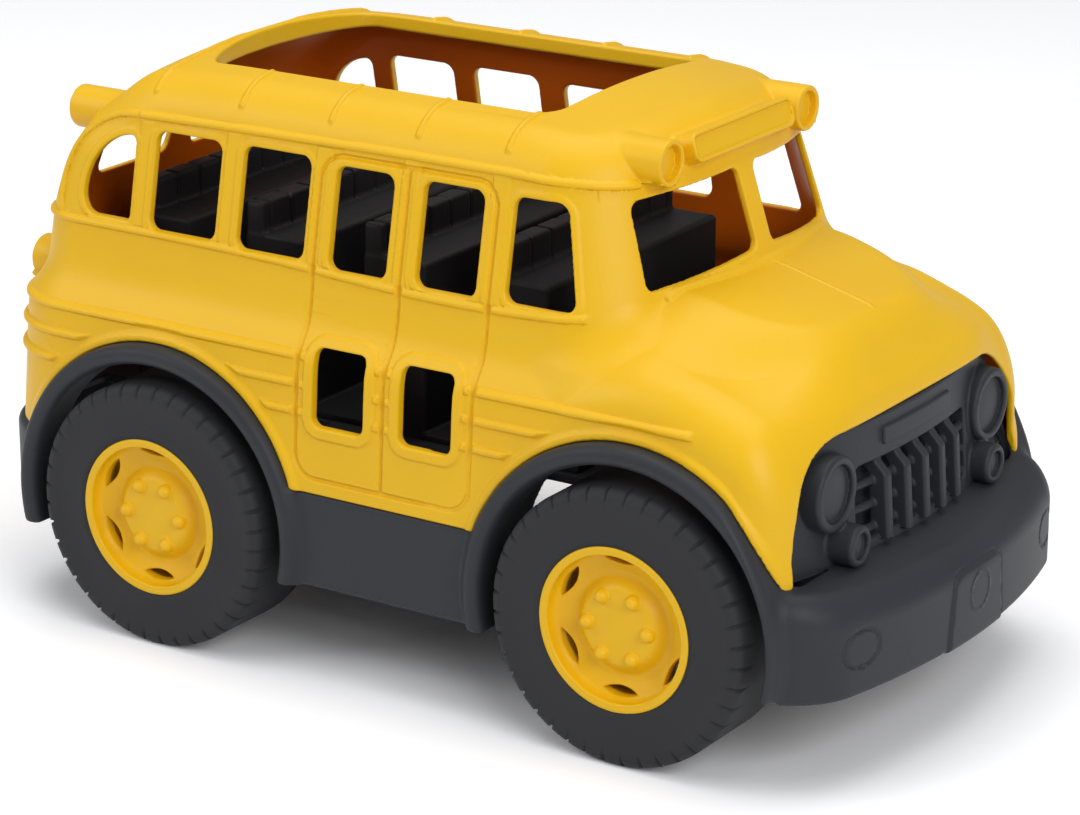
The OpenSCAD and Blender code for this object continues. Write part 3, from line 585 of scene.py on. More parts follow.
def bearings(x, y, z):
    """Hangers under the floor that hold the axles."""
    across = slab(np.abs(y), BEARING_Y - BEARING_W, BEARING_Y)
    out = np.full_like(x, FAR)
    for axle in (FRONT_AXLE_X, REAR_AXLE_X):
        round_end = np.hypot(x - axle, np.minimum(z - TYRE_R, 0)) - BEARING_R
        out = np.minimum(out, np.maximum(np.maximum(round_end, across), z - FLOOR_Z + 1))
    return out


# Chassis: gap to the skin, depth of the tongue in the shell, front end of the floor, walls of the wheel wells
INSIDE = WALL + 0.3 + 0.8
TONGUE_DEPTH, FLOOR_FRONT_X = 4, 92.6
WELL_WALL, WELL_WALL_Y, WELL_CLEAR = (ARCH_R - 1.9, ARCH_R - 0.4), 62, 2
AXLE_CLEAR = 0.08


def chassis(x, y, z):
    """Running boards, floor, bumpers, flares, wheel wells and bearings in one moulding."""
    ay = np.abs(y)
    plan = chassis_plan(x, y)
    arch = wheel_radius(x, z)
    board = np.maximum(smooth_max(plan, slab(z, SKIRT_Z, SILL_Z - 0.05), 1.2), -(plan + BOARD_WALL))
    tongue = np.maximum(plan + INSIDE, slab(z, SILL_Z - TONGUE_DEPTH, FLOOR_Z))
    tongue = np.maximum(tongue, -(plan + INSIDE + SKIRT_WALL))
    floor = np.maximum(plan + INSIDE, slab(z, FLOOR_Z - FLOOR_T, FLOOR_Z))
    upper = np.maximum(np.minimum(tongue, floor), np.minimum(x - FLOOR_FRONT_X, z - BUMPER_TOP))
    tub = smooth_min(np.minimum(board, upper), rear_bumper(x, y, z), 1.0)
    tub = smooth_min(tub, front_bumper(x, y, z), 2.0)
    well = np.maximum(arch - ARCH_R + WELL_CLEAR, BEARING_Y - 0.5 - ay)
    tub = np.maximum(tub, -well)
    wall = np.maximum(slab(arch, *WELL_WALL), slab(ay, BEARING_Y, WELL_WALL_Y))
    wall = np.maximum(wall, slab(z, SKIRT_Z, FLOOR_Z - 3))
    tub = np.minimum(tub, np.maximum(wall, slab(x, REAR_AXLE_X, FRONT_AXLE_X)))
    tub = smooth_min(tub, flares(x, y, z), 2.5)
    out = np.minimum(tub, bearings(x, y, z))
    return np.maximum(out, AXLE_R + AXLE_CLEAR - arch)


# Front panel: gap to the shell, how far it stands out, its lean and bow, thickness and flange
PANEL_CLEAR, PANEL_WIDEN = 0.3, 0.06
PANEL_OUT, PANEL_LEAN, PANEL_LEAN_Z, PANEL_BOW = 5.8, 0.075, 60, 400
PANEL_T, FLANGE_T, FLANGE_BACK_X = 3.4, 1.4, 99
# Heights over the bumper: slot, ledge over it, slats, rods behind them
SLOT_MID, SLOT_HW, SLOT_HH, SLOT_R = 13.2, 29.0, 9.6, 2.2
LEDGE_MID, LEDGE_BAR_HW, LEDGE_BAR_HH, LEDGE_BAR_H = 28.4, 17.5, 2.2, 0.9
SLAT_PITCH, SLAT_SIDE, SLAT_HW, SLAT_SPAN = 9.2, 2, 1.5, (2.6, 23.4)
SLAT_BACK, SLAT_OUT, SLAT_LEAN, SLAT_LEANS = 3.0, 2.4, 3.0, (18.5, 23)
ROD_COUNT, ROD_FOOT, ROD_PITCH, ROD_SET, ROD_R, ROD_HW = 3, 5.6, 5.9, 1.8, 1.1, 30
BACK_HW, BACK_HH, BACK_R, BACK_SPAN = 31, 11.4, 2, (7.0, 5.4)
# Distance from the middle, height, radius, reach forward and lens border of the head and marker lamps
FRONT_LAMPS = ((41.0, 70.2, 9.7, 115.0, 2.4), (36.2, 56.2, 5.3, 119.2, 2.0))
FRONT_LENS_SET, FRONT_LENS_CROWN = 1.9, 0.9


def grille(x, y, z):
    """Front panel: slats before cross bars, a ledge over them, and the lamps."""
    ay = np.abs(y)
    foot = BUMPER_TOP
    sides = ay - GRILLE_HW + PANEL_CLEAR - (GRILLE_WIDEN_Z - z) * PANEL_WIDEN
    outline = smooth_max(z - GRILLE_TOP + PANEL_CLEAR, sides, GRILLE_R)
    sheet = np.maximum(outline, foot - z)
    front = PANEL_X + PANEL_OUT - (z - PANEL_LEAN_Z) * PANEL_LEAN - y * y / PANEL_BOW
    out = smooth_max(sheet, slab(x, front - PANEL_T, front), 0.6)
    flange = np.maximum(slab(outline, -FLANGE_T, 0), slab(x, FLANGE_BACK_X, front - 1))
    out = np.minimum(out, np.maximum(flange, foot - z))
    slot = box2(y, z - foot - SLOT_MID, SLOT_HW, SLOT_HH, SLOT_R)
    out = smooth_max(out, -slot, 0.8)
    bar = box2(y, z - foot - LEDGE_MID, LEDGE_BAR_HW, LEDGE_BAR_HH, 0.5)
    out = np.minimum(out, smooth_max(bar, slab(x, front - 1, front + LEDGE_BAR_H), 0.3))
    turn = y - SLAT_PITCH * np.clip(np.round(y / SLAT_PITCH), -SLAT_SIDE, SLAT_SIDE)
    lean = SLAT_LEAN * ease(z, foot + SLAT_LEANS[0], foot + SLAT_LEANS[1])
    slat = smooth_max(np.abs(turn) - SLAT_HW, slab(x + lean, front - SLAT_BACK, front + SLAT_OUT), 0.9)
    slat = np.maximum(slat, slab(z, foot + SLAT_SPAN[0], foot + SLAT_SPAN[1]))
    bars = np.full_like(x, FAR)
    for i in range(ROD_COUNT):
        rod = np.hypot(x - front + ROD_SET, z - foot - ROD_FOOT - ROD_PITCH * i) - ROD_R
        bars = np.minimum(bars, np.maximum(rod, ay - ROD_HW))
    plate = box2(y, z - foot - SLOT_MID, BACK_HW, BACK_HH, BACK_R)
    back = np.maximum(np.maximum(plate, slab(x, front - BACK_SPAN[0], front - BACK_SPAN[1])), foot - z)
    slot_wall = np.maximum(np.abs(slot - 1.0) - 1.0, slab(x, front - BACK_SPAN[0], front - 1))
    slot_wall = np.maximum(slot_wall, foot - z)
    out = np.minimum(np.minimum(out, smooth_min(slat, bars, 0.6)), np.minimum(back, slot_wall))
    for cy, cz, r, reach, border in FRONT_LAMPS:
        d = np.hypot(ay - cy, z - cz)
        cup = smooth_max(d - r, slab(x, front - 4, reach), 1.2)
        dish = np.maximum(d - r + border, reach - FRONT_LENS_SET - x + FRONT_LENS_CROWN * (1 - (d / r) ** 2))
        out = smooth_min(out, smooth_max(cup, -dish, 0.6), 0.8)
    return np.maximum(out, foot - z)


SEAT_HW, SEAT_ROWS, SEAT_PITCH, FIRST_SEAT_X = 41.0, 4, 37.9, DOOR_X - 6.7
SEAT_BACK_T, SEAT_BACK_H, SEAT_L, SEAT_H = 5.6, 55.6, 13.6, 47.4
SEAT_SLOT, SLOT_PITCH, SLOT_SIDE, SEAT_R = 1.2, 9.4, 4, 1.2
TRAY_FRONT, TRAY_T = 8.7, 2


def seats(x, y, z):
    """Bench rows on one tray, with grooves across their backs."""
    row = np.clip(np.round((FIRST_SEAT_X + 4 - x) / SEAT_PITCH), 0, SEAT_ROWS - 1)
    u = x - FIRST_SEAT_X + row * SEAT_PITCH
    ends = np.abs(y) - SEAT_HW
    back = smooth_max(smooth_max(slab(u, -SEAT_BACK_T, 0), ends, SEAT_R), z - FLOOR_Z - SEAT_BACK_H, 0.8)
    groove = y - SLOT_PITCH * np.clip(np.round(y / SLOT_PITCH), -SLOT_SIDE, SLOT_SIDE)
    back = back + SEAT_SLOT * (1 - ease(np.abs(groove), 0.3, 0.7))
    cushion = smooth_max(smooth_max(slab(u, -SEAT_BACK_T, SEAT_L), ends, SEAT_R), z - FLOOR_Z - SEAT_H, SEAT_R)
    bench = smooth_min(back, cushion, 1.0)
    tray_x0 = FIRST_SEAT_X - (SEAT_ROWS - 1) * SEAT_PITCH - SEAT_BACK_T
    tray = np.maximum(slab(x, tray_x0, FIRST_SEAT_X + SEAT_L + TRAY_FRONT), z - FLOOR_Z - TRAY_T)
    return np.maximum(np.minimum(bench, np.maximum(tray, ends)), FLOOR_Z - z)


# Depth of the hub's face at each radius: flat centre, groove, dish and rim
HUB_FACE = Curve([(0, -2.3), (9.6, -2.4), (10.6, -3.0), (12.6, -5.6), (14.0, -5.6), (18.4, -3.6), (19.2, -3.0),
                  (20.0, -0.3), (30, -0.3)], soft=0.45)
HUB_WEB, HUB_WALL, HUB_DEPTH, HUB_SLOPE = 3.0, 2.4, -26, 0.8
HUB_SIXTH = math.pi / 3
LUG_RING, LUG_Z, LUG_R = 8.6, 2.6, 1.9
# Vents: two arcs that cross, on a ring about the axle
VENT_RING, VENT_ARC_SET, VENT_ARC_R = 17.2, 9.6, 10.8
BOSS_R, BOSS_TOP, BOSS_GAP = 7, -4, 0.4
BORE_CLEAR, BORE_DEPTH = 0.05, 10


def hub(x, y, z):
    """One hub about the Z axis, outer face up at z = 0: rim, dish, vents, raised centre and lugs."""
    r = np.hypot(x, y)
    face = HUB_FACE(r)
    web = np.maximum(z - face, face - HUB_WEB - z) * HUB_SLOPE
    rim = np.maximum(slab(r, RIM_R - HUB_WALL, RIM_R - 0.05), slab(z, HUB_DEPTH, 0))
    out = smooth_max(smooth_min(np.maximum(web, r - RIM_R + 1), rim, 0.8), z + 0.05, 0.6)
    turn = np.arctan2(y, x)
    lug_turn = turn - HUB_SIXTH * (np.round(turn / HUB_SIXTH - 0.5) + 0.5)
    u, v = r * np.cos(lug_turn) - LUG_RING, r * np.sin(lug_turn)
    lug = np.sqrt(u * u + v * v + ((z + LUG_Z) * HUB_SLOPE) ** 2) - LUG_R
    out = smooth_min(out, lug, 0.3)
    vent_turn = turn - HUB_SIXTH * np.round(turn / HUB_SIXTH)
    u, v = r * np.cos(vent_turn) - VENT_RING, r * np.sin(vent_turn)
    vent = np.maximum(np.hypot(u - VENT_ARC_SET, v) - VENT_ARC_R, np.hypot(u + VENT_ARC_SET, v) - VENT_ARC_R)
    out = smooth_max(out, -np.maximum(vent, slab(z, -20, 5)), 0.4)
    boss_low = BEARING_Y + BOSS_GAP - TRACK / 2
    boss = np.maximum(r - BOSS_R, slab(z, boss_low, BOSS_TOP))
    bore = np.maximum(r - AXLE_R - BORE_CLEAR, z + BORE_DEPTH)
    return np.maximum(np.minimum(out, boss), -bore)


# Meshes from the fields

SHARE, THREADS = 120000, 4
BLOCK, NEAR = 8, 1.45  # cells along a block, and how many blocks away the surface may pass
SLOPE_REACH, NORMAL_REACH = 0.12, 0.15
LEAST_SLOPE, LONGEST_MOVE = 0.05, 0.6
# Depth below the skin over which the painted inner shade sets in
INNER_SHADE_DEPTH = (1.5, 2.1)


def evaluate(field, points):
    """The field at many points, in shares that run side by side."""
    points = np.asarray(points, dtype=np.float32)
    shares = np.array_split(points, max(1, len(points) // SHARE))
    with ThreadPoolExecutor(THREADS) as pool:
        parts = list(pool.map(lambda p: np.asarray(field(p[:, 0], p[:, 1], p[:, 2]), dtype=np.float32), shares))
    return np.concatenate(parts)


def gradient(field, points, reach):
    """The field's slope along each axis, measured over reach to both sides."""
    sides = []
    for axis in range(3):
        shift = np.zeros(3, dtype=np.float32)
        shift[axis] = reach
        sides.append((evaluate(field, points + shift) - evaluate(field, points - shift)) / (2 * reach))
    return np.stack(sides, axis=1)


def sample_grid(field, low, high, step):
    """The field on a grid. Blocks that are far from the surface keep one value."""
    cube = (BLOCK, BLOCK, BLOCK)
    blocks = np.ceil((np.asarray(high) - low) / (step * BLOCK)).astype(int) + 1
    where = np.stack(np.meshgrid(*[np.arange(n) for n in blocks], indexing="ij"), axis=-1).reshape(-1, 3)
    middles = low + (where * BLOCK + (BLOCK - 1) / 2) * step
    coarse = evaluate(field, middles)
    near = np.abs(coarse) < NEAR * step * BLOCK
    values = np.repeat(coarse, BLOCK ** 3).reshape(-1, *cube)
    inner = np.stack(np.meshgrid(*[np.arange(BLOCK)] * 3, indexing="ij"), axis=-1).reshape(-1, 3)
    points = low + (where[near][:, None, :] * BLOCK + inner[None]) * step
    values[near] = evaluate(field, points.reshape(-1, 3)).reshape(-1, *cube)
    values = values.reshape(*blocks, *cube).transpose(0, 3, 1, 4, 2, 5)
    return np.ascontiguousarray(values.reshape(*(blocks * BLOCK)))


CORNERS = np.array([(i, j, k) for i in (0, 1) for j in (0, 1) for k in (0, 1)])
EDGES = [(a, b) for a in range(8) for b in range(a + 1, 8) if np.abs(CORNERS[a] - CORNERS[b]).sum() == 1]


def surface_net(field, low, high, step):
    """Points and quads of the field's zero surface."""
    low = np.asarray(low, dtype=float)
    grid = sample_grid(field, low, high, step)
    inside = grid < 0
    size = np.array(grid.shape) - 1
    count = np.zeros(size, dtype=np.int8)
    for i, j, k in CORNERS:
        count += inside[i:i + size[0], j:j + size[1], k:k + size[2]]
    cells = np.flatnonzero((count > 0) & (count < 8))
    ijk = np.stack(np.unravel_index(cells, size), axis=1)
    at = [grid[tuple((ijk + c).T)] for c in CORNERS]
    total, hits = np.zeros((len(cells), 3)), np.zeros(len(cells))
    for a, b in EDGES:
        crossed = (at[a] < 0) != (at[b] < 0)
        t = np.where(crossed, at[a] / np.where(crossed, at[a] - at[b], 1), 0)
        total += np.where(crossed[:, None], CORNERS[a] + t[:, None] * (CORNERS[b] - CORNERS[a]), 0)
        hits += crossed
    points = low + (ijk + total / hits[:, None]) * step
    number = np.full(int(np.prod(size)), -1, dtype=np.int32)
    number[cells] = np.arange(len(cells))
    number = number.reshape(size)
    quads = []
    for axis in range(3):
        b, c = (axis + 1) % 3, (axis + 2) % 3
        start = inside.take(range(0, size[axis]), axis=axis)
        end = inside.take(range(1, size[axis] + 1), axis=axis)
        edge = np.stack(np.nonzero(start != end), axis=1)
        edge = edge[(edge[:, b] > 0) & (edge[:, c] > 0) & (edge[:, b] < size[b]) & (edge[:, c] < size[c])]
        ring = []
        for db, dc in ((-1, -1), (0, -1), (0, 0), (-1, 0)):
            cell = edge.copy()
            cell[:, b] += db
            cell[:, c] += dc
            ring.append(number[tuple(cell.T)])
        ring = np.stack(ring, axis=1)
        forward = inside[tuple(edge.T)]
        quads.append(np.where(forward[:, None], ring, ring[:, ::-1]))
    return points, np.concatenate(quads)


def settle(field, points, step, rounds=2):
    """Moves points onto the field's zero surface."""
    for _ in range(rounds):
        value = evaluate(field, points)
        slope = gradient(field, points, SLOPE_REACH)
        size = np.maximum((slope * slope).sum(axis=1), LEAST_SLOPE)
        move = np.clip(value / size, -LONGEST_MOVE * step, LONGEST_MOVE * step)
        points = points - move[:, None] * slope
    return points


def mesh_from(name, points, faces):
    """A mesh of faces that all have the same number of corners, from points in millimetres."""
    mesh = bpy.data.meshes.new(name)
    corners = faces.shape[1]
    mesh.vertices.add(len(points))
    mesh.vertices.foreach_set("co", (np.asarray(points) * MM).astype(np.float32).ravel())
    mesh.loops.add(faces.size)
    mesh.loops.foreach_set("vertex_index", faces.astype(np.int32).ravel())
    mesh.polygons.add(len(faces))
    mesh.polygons.foreach_set("loop_start", np.arange(0, faces.size, corners, dtype=np.int32))
    mesh.polygons.foreach_set("loop_total", np.full(len(faces), corners, dtype=np.int32))
    mesh.update(calc_edges=True)
    mesh.validate()
    mesh.shade_smooth()
    return mesh


def add_object(name, mesh, material):
    obj = bpy.data.objects.new(name, mesh)
    bpy.context.scene.collection.objects.link(obj)
    mesh.materials.clear()
    mesh.materials.append(material)
    return obj


def thinned(obj, faces_wanted):
    """The object's mesh with fewer triangles, kept fine where it bends."""
    thin = obj.modifiers.new("thin", "DECIMATE")
    thin.ratio = min(1.0, faces_wanted / (2 * len(obj.data.polygons)))
    depsgraph = bpy.context.evaluated_depsgraph_get()
    mesh = bpy.data.meshes.new_from_object(obj.evaluated_get(depsgraph))
    obj.modifiers.clear()
    return mesh


def moulded(name, field, low, high, step, faces_wanted, material, skin=None):
    """A moulded piece from its field. Where skin is given, its inner side is marked for the material's painted
    shade.
    """
    points, quads = surface_net(field, low, high, step)
    points = settle(field, points, step)
    obj = add_object(name, mesh_from(name, points, quads), material)
    mesh = thinned(obj, faces_wanted)
    co = np.empty(3 * len(mesh.vertices), dtype=np.float32)
    mesh.vertices.foreach_get("co", co)
    points = settle(field, co.reshape(-1, 3) / MM, step, 1)
    mesh.vertices.foreach_set("co", (points * MM).astype(np.float32).ravel())
    slope = gradient(field, points, NORMAL_REACH)
    slope /= np.maximum(np.linalg.norm(slope, axis=1, keepdims=True), TINY)
    mesh.shade_smooth()
    mesh.normals_split_custom_set_from_vertices(slope.tolist())
    mesh.update()
    if skin:
        # Marks the inner side, which the material darkens with a painted shade
        inside = mesh.attributes.new("inside", "FLOAT", "POINT")
        inside.data.foreach_set("value", ease(-evaluate(skin, points), *INNER_SHADE_DEPTH).astype(np.float32))
    obj.data = mesh
    mesh.name = name
    mesh.materials.clear()
    mesh.materials.append(material)
    return obj


# Materials

def srgb(r, g, b):
    """A colour written as on a screen, as the linear colour that the shader takes."""
    return tuple(c / 12.92 if c < 0.04045 else ((c + 0.055) / 1.055) ** 2.4 for c in (r, g, b)) + (1.0,)


CLOUD_SCALE, CLOUD_DETAIL, CLOUD_SPAN = 38, 3, (0.35, 0.75)
GLOSS_BELOW, GLOSS_ABOVE = 0.04, 0.05
GRAIN_DETAIL, GRAIN_STRENGTH = 2, 0.25
PLASTIC_IOR = 1.46


def plastic(name, base, paler, roughness, specular, grain, grain_height, inner=None):
    """Moulded plastic: a slightly uneven colour and gloss, over a fine grain, and a painted shade on the inner
    side, a deeper colour that stands for the shade inside.
    """
    material = bpy.data.materials.new(name)
    material.use_nodes = True
    nodes, links = material.node_tree.nodes, material.node_tree.links
    shader = nodes["Principled BSDF"]
    place = nodes.new("ShaderNodeTexCoord")
    cloud = nodes.new("ShaderNodeTexNoise")
    cloud.inputs["Scale"].default_value = CLOUD_SCALE
    cloud.inputs["Detail"].default_value = CLOUD_DETAIL
    links.new(place.outputs["Object"], cloud.inputs["Vector"])
    tone = nodes.new("ShaderNodeValToRGB")
    for stop, colour, position in zip(tone.color_ramp.elements, (base, paler), CLOUD_SPAN):
        stop.color = colour
        stop.position = position
    links.new(cloud.outputs["Fac"], tone.inputs["Fac"])
    colour = tone.outputs["Color"]
    # inner is the colour of the painted shade on the inner side
    if inner:
        inside = nodes.new("ShaderNodeAttribute")
        inside.attribute_name = "inside"
        mix = nodes.new("ShaderNodeMixRGB")
        mix.inputs["Color2"].default_value = inner
        links.new(inside.outputs["Fac"], mix.inputs["Fac"])
        links.new(colour, mix.inputs["Color1"])
        colour = mix.outputs["Color"]
    links.new(colour, shader.inputs["Base Color"])
    gloss = nodes.new("ShaderNodeMapRange")
    gloss.inputs["To Min"].default_value = roughness - GLOSS_BELOW
    gloss.inputs["To Max"].default_value = roughness + GLOSS_ABOVE
    links.new(cloud.outputs["Fac"], gloss.inputs["Value"])
    links.new(gloss.outputs["Result"], shader.inputs["Roughness"])
    fine = nodes.new("ShaderNodeTexNoise")
    fine.inputs["Scale"].default_value = grain
    fine.inputs["Detail"].default_value = GRAIN_DETAIL
    links.new(place.outputs["Object"], fine.inputs["Vector"])
    bump = nodes.new("ShaderNodeBump")
    bump.inputs["Strength"].default_value = GRAIN_STRENGTH
    bump.inputs["Distance"].default_value = grain_height
    links.new(fine.outputs["Fac"], bump.inputs["Height"])
    links.new(bump.outputs["Normal"], shader.inputs["Normal"])
    shader.inputs["IOR"].default_value = PLASTIC_IOR
    shader.inputs["Specular IOR Level"].default_value = specular
    return material


# The yellow's last colour is a painted shade: a deep orange on the inner side of the shell, where the inside lies
# in shade
YELLOW = plastic("yellow_plastic", srgb(0.925, 0.724, 0.03), srgb(0.935, 0.738, 0.05), 0.44, 0.45, 900, 0.00012,
                 srgb(0.84, 0.39, 0.01))
GREY = plastic("grey_plastic", srgb(0.188, 0.196, 0.214), srgb(0.203, 0.211, 0.230), 0.48, 0.26, 1000, 0.00014)
SEAT_GREY = plastic("seat_plastic", srgb(0.135, 0.136, 0.142), srgb(0.15, 0.151, 0.157), 0.55, 0.26, 1000, 0.00012)
TYRE_GREY = plastic("tyre_plastic", srgb(0.184, 0.186, 0.194), srgb(0.200, 0.202, 0.210), 0.60, 0.24, 1300, 0.00018)


# Wheels

TYRE_TURNS, TREAD_BLOCKS = 720, 40
SHOULDER_R, HEEL, SIDE_HOLLOW, SIDE_SET = 2.8, 1.2, 0.5, 0.2
SIDE_STEPS, SHOULDER_STEPS, TREAD_STEPS = 7, 9, 6
NOTCH_DEPTH, NOTCH_HW, NOTCH_LEAN = 0.75, (0.2, 0.65), 0.5
NOTCH_R, NOTCH_SPAN, NOTCH_LEAN_SPAN = (TYRE_R - 3.4, TYRE_R - 2.2), (9.6, 11.0), (8, 12)
BEAD_SEAT_R = RIM_R + 0.02


def tyre_section():
    """Radius and place across the tyre, from one bead over the tread to the other."""
    half = TYRE_W / 2
    shoulder_in = TYRE_R - SHOULDER_R
    section = []
    for r in np.linspace(RIM_R, shoulder_in, SIDE_STEPS)[:-1]:
        hollow = SIDE_HOLLOW * math.sin(math.pi * (r - RIM_R) / (shoulder_in - RIM_R))
        section.append((r, half - hollow - SIDE_SET))
    for a in np.linspace(0, math.pi / 2, SHOULDER_STEPS):
        section.append((shoulder_in + SHOULDER_R * math.sin(a), half - SHOULDER_R + SHOULDER_R * math.cos(a)))
    for t in np.linspace(half - SHOULDER_R, 0, TREAD_STEPS)[1:]:
        section.append((TYRE_R, t))
    section += [(r, -t) for r, t in section[-2::-1]]
    return np.array([(BEAD_SEAT_R, half - HEEL)] + section + [(BEAD_SEAT_R, HEEL - half)])


def tyre_mesh(name):
    """One tyre about the Z axis, outer face at z = 0, with notches across the shoulders of the tread."""
    section = tyre_section()
    rows = len(section)
    angle = np.arange(TYRE_TURNS) * 2 * math.pi / TYRE_TURNS
    r = np.repeat(section[None, :, 0], TYRE_TURNS, axis=0)
    t = np.repeat(section[None, :, 1], TYRE_TURNS, axis=0)
    side = np.where(t > 0, 0.0, 0.5)
    phase = (angle[:, None] / (2 * math.pi) * TREAD_BLOCKS + side) % 1
    near = np.abs(phase - 0.5) * 2 * math.pi * TYRE_R / TREAD_BLOCKS
    notch = 1 - ease(near, *NOTCH_HW)
    depth = NOTCH_DEPTH * ease(r, *NOTCH_R) * ease(np.abs(t), *NOTCH_SPAN)
    cut = depth * notch
    out_r, out_t = r - cut, t - NOTCH_LEAN * cut * np.sign(t) * ease(np.abs(t), *NOTCH_LEAN_SPAN)
    out_x, out_y = out_r * np.cos(angle)[:, None], out_r * np.sin(angle)[:, None]
    points = np.stack([out_x, out_y, out_t - TYRE_W / 2], axis=-1)
    i, j = np.meshgrid(np.arange(TYRE_TURNS), np.arange(rows), indexing="ij")
    nxt = (j + 1) % rows
    turn = (i + 1) % TYRE_TURNS
    faces = np.stack([i * rows + j, i * rows + nxt, turn * rows + nxt, turn * rows + j], axis=-1).reshape(-1, 4)
    return mesh_from(name, points.reshape(-1, 3), faces)


WHEEL_SPIN = math.radians(90)  # puts a vent at the top


def wheel_place(axle_x, side):
    """Turns a wheel that is drawn about Z, with its outer face up, to its place on the bus."""
    turn = Matrix.Rotation(math.radians(-90 * side), 4, "X")
    place = Matrix.Translation(Vector((axle_x, side * TRACK / 2, TYRE_R)) * MM)
    return place @ turn @ Matrix.Rotation(WHEEL_SPIN, 4, "Z")


# Piece, field, corners of its space, grid step, triangles, material, skin depth field for the painted inner shade,
# node that it stands for, slot
PIECES = (
    ("body", body, (-136, -71, 49), (119, 71, 156), 0.62, 190000, YELLOW, inner_shade_field,
     "body_shell", "yellow_body"),
    ("chassis_moulding", chassis, (-137, -75, 21), (137, 75, 86), 0.8, 130000, GREY, None,
     "chassis", "grey_chassis"),
    ("grille", grille, (99, -63, 47), (123, 63, 87), 0.45, 120000, GREY, None,
     "grille_panel", "grey_grille"),
    ("seats", seats, (-106, -44, 59), (47, 44, 119), 0.9, 60000, SEAT_GREY, None,
     "seat_insert", "grey_seats"),
)
for name, field, low, high, step, triangles, material, skin, node, slot in PIECES:
    piece = moulded(name, field, low, high, step, triangles, material, skin)
    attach(piece, "bus_body")
    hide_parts(node)

hub_model = moulded("hub_model", hub, (-23, -23, -32), (23, 23, 2), 0.4, 60000, YELLOW)
hub_mesh = hub_model.data
bpy.data.objects.remove(hub_model)
rubber = tyre_mesh("tyre")
for axle, axle_x in (("front", FRONT_AXLE_X), ("rear", REAR_AXLE_X)):
    for side_name, side in (("left", 1), ("right", -1)):
        wheel = f"{axle}_{side_name}"
        place = wheel_place(axle_x, side)
        centre = add_object(f"wheel_hub_{wheel}", hub_mesh, YELLOW)
        ring = add_object(f"wheel_tyre_{wheel}", rubber, TYRE_GREY)
        for piece, node, slot in ((centre, "hub_", "yellow_hub"), (ring, "tyre_", "grey_tyre")):
            piece.matrix_world = place
            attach(piece, f"{axle}_wheels")
            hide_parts(node + wheel)
    axle_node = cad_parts[f"{axle}_axle"]
    axle_node.data.materials.clear()
    axle_node.data.materials.append(GREY)


# Camera, solved on the photograph

CAMERA_AT = Vector((512.2, -782.3, 373.1)) * MM
CAMERA_AZIMUTH, CAMERA_ELEVATION, CAMERA_ROLL = (math.radians(a) for a in (33.09, 18.53, 0.12))
SENSOR_W, LENS, CLIP_END = 36.0, 123.51, 20

back = Vector((math.sin(CAMERA_AZIMUTH) * math.cos(CAMERA_ELEVATION),
               -math.cos(CAMERA_AZIMUTH) * math.cos(CAMERA_ELEVATION), math.sin(CAMERA_ELEVATION)))
across = Vector((math.cos(CAMERA_AZIMUTH), math.sin(CAMERA_AZIMUTH), 0))
upward = back.cross(across)
right_axis = across * math.cos(CAMERA_ROLL) + upward * math.sin(CAMERA_ROLL)
up_axis = upward * math.cos(CAMERA_ROLL) - across * math.sin(CAMERA_ROLL)
camera_data = bpy.data.cameras.new("camera")
camera_data.sensor_fit = "HORIZONTAL"
camera_data.sensor_width = SENSOR_W
camera_data.lens = LENS
camera_data.clip_end = CLIP_END
camera = bpy.data.objects.new("camera", camera_data)
camera.matrix_world = Matrix.Translation(CAMERA_AT) @ Matrix((right_axis, up_axis, back)).transposed().to_4x4()
bpy.context.scene.collection.objects.link(camera)
scene = bpy.context.scene
scene.camera = camera
scene.view_settings.view_transform = "Standard"


# Floor, light and background

PAPER_LIT, PAPER_SEEN, PAPER_BLUE = 0.72, 1.2, 1.01
FLOOR_HALF = 3.0
LIGHT_AIM = (0, 0, 0.08)
WORLD_COLOUR, WORLD_STRENGTH = (0.96, 0.97, 1.0, 1), 0.33


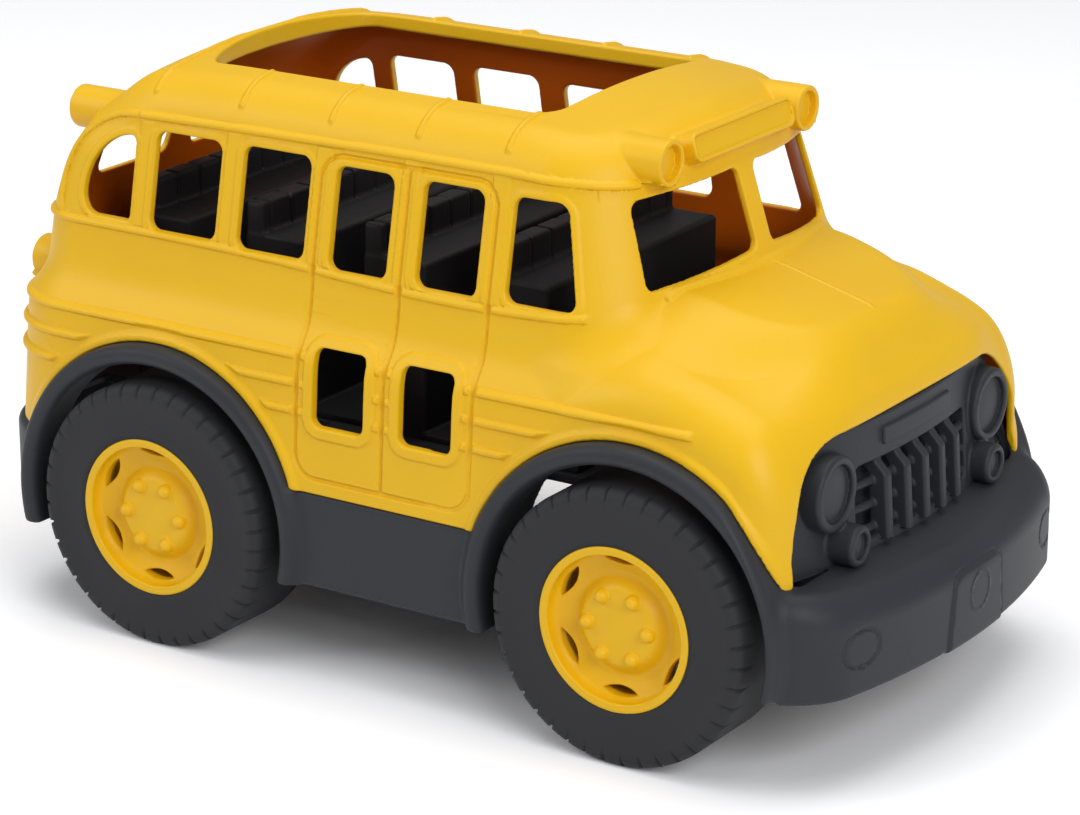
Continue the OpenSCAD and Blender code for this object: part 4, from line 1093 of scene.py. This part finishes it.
def floor_material():
    """Pale floor that the camera sees as white paper with the soft shadow of the bus."""
    material = bpy.data.materials.new("floor_paper")
    material.use_nodes = True
    nodes, links = material.node_tree.nodes, material.node_tree.links
    nodes.remove(nodes["Principled BSDF"])
    path = nodes.new("ShaderNodeLightPath")
    seen = nodes.new("ShaderNodeMath")
    seen.operation = "MAXIMUM"
    links.new(path.outputs["Is Camera Ray"], seen.inputs[0])
    links.new(path.outputs["Is Glossy Ray"], seen.inputs[1])
    paper = []
    for tone in (PAPER_LIT, PAPER_SEEN):
        diffuse = nodes.new("ShaderNodeBsdfDiffuse")
        diffuse.inputs["Color"].default_value = (tone, tone, tone * PAPER_BLUE, 1)
        paper.append(diffuse.outputs["BSDF"])
    mix = nodes.new("ShaderNodeMixShader")
    links.new(seen.outputs["Value"], mix.inputs["Fac"])
    links.new(paper[0], mix.inputs[1])
    links.new(paper[1], mix.inputs[2])
    links.new(mix.outputs["Shader"], nodes["Material Output"].inputs["Surface"])
    return material


floor_mesh = bpy.data.meshes.new("floor")
floor_mesh.from_pydata([(-FLOOR_HALF, -FLOOR_HALF, 0), (FLOOR_HALF, -FLOOR_HALF, 0),
                        (FLOOR_HALF, FLOOR_HALF, 0), (-FLOOR_HALF, FLOOR_HALF, 0)], [], [(0, 1, 2, 3)])
floor = add_object("floor", floor_mesh, floor_material())


def softbox(name, at, width, height, watts):
    """White rectangular lamp in metres, turned to the bus."""
    light = bpy.data.lights.new(name, "AREA")
    light.shape = "RECTANGLE"
    light.size, light.size_y = width, height
    light.energy = watts
    lamp = bpy.data.objects.new(name, light)
    lamp.location = at
    lamp.rotation_euler = (Vector(LIGHT_AIM) - Vector(at)).to_track_quat("-Z", "Y").to_euler()
    scene.collection.objects.link(lamp)


softbox("overhead", (-0.05, 0.12, 1.5), 1.5, 1.2, 11.8)
softbox("left_side", (-1.1, -1.0, 0.9), 1.0, 0.9, 7.4)
softbox("front_right", (1.2, -0.7, 0.85), 0.9, 0.8, 11.0)

world = bpy.data.worlds.new("studio")
world.use_nodes = True
world.node_tree.nodes["Background"].inputs["Color"].default_value = WORLD_COLOUR
world.node_tree.nodes["Background"].inputs["Strength"].default_value = WORLD_STRENGTH
scene.world = world
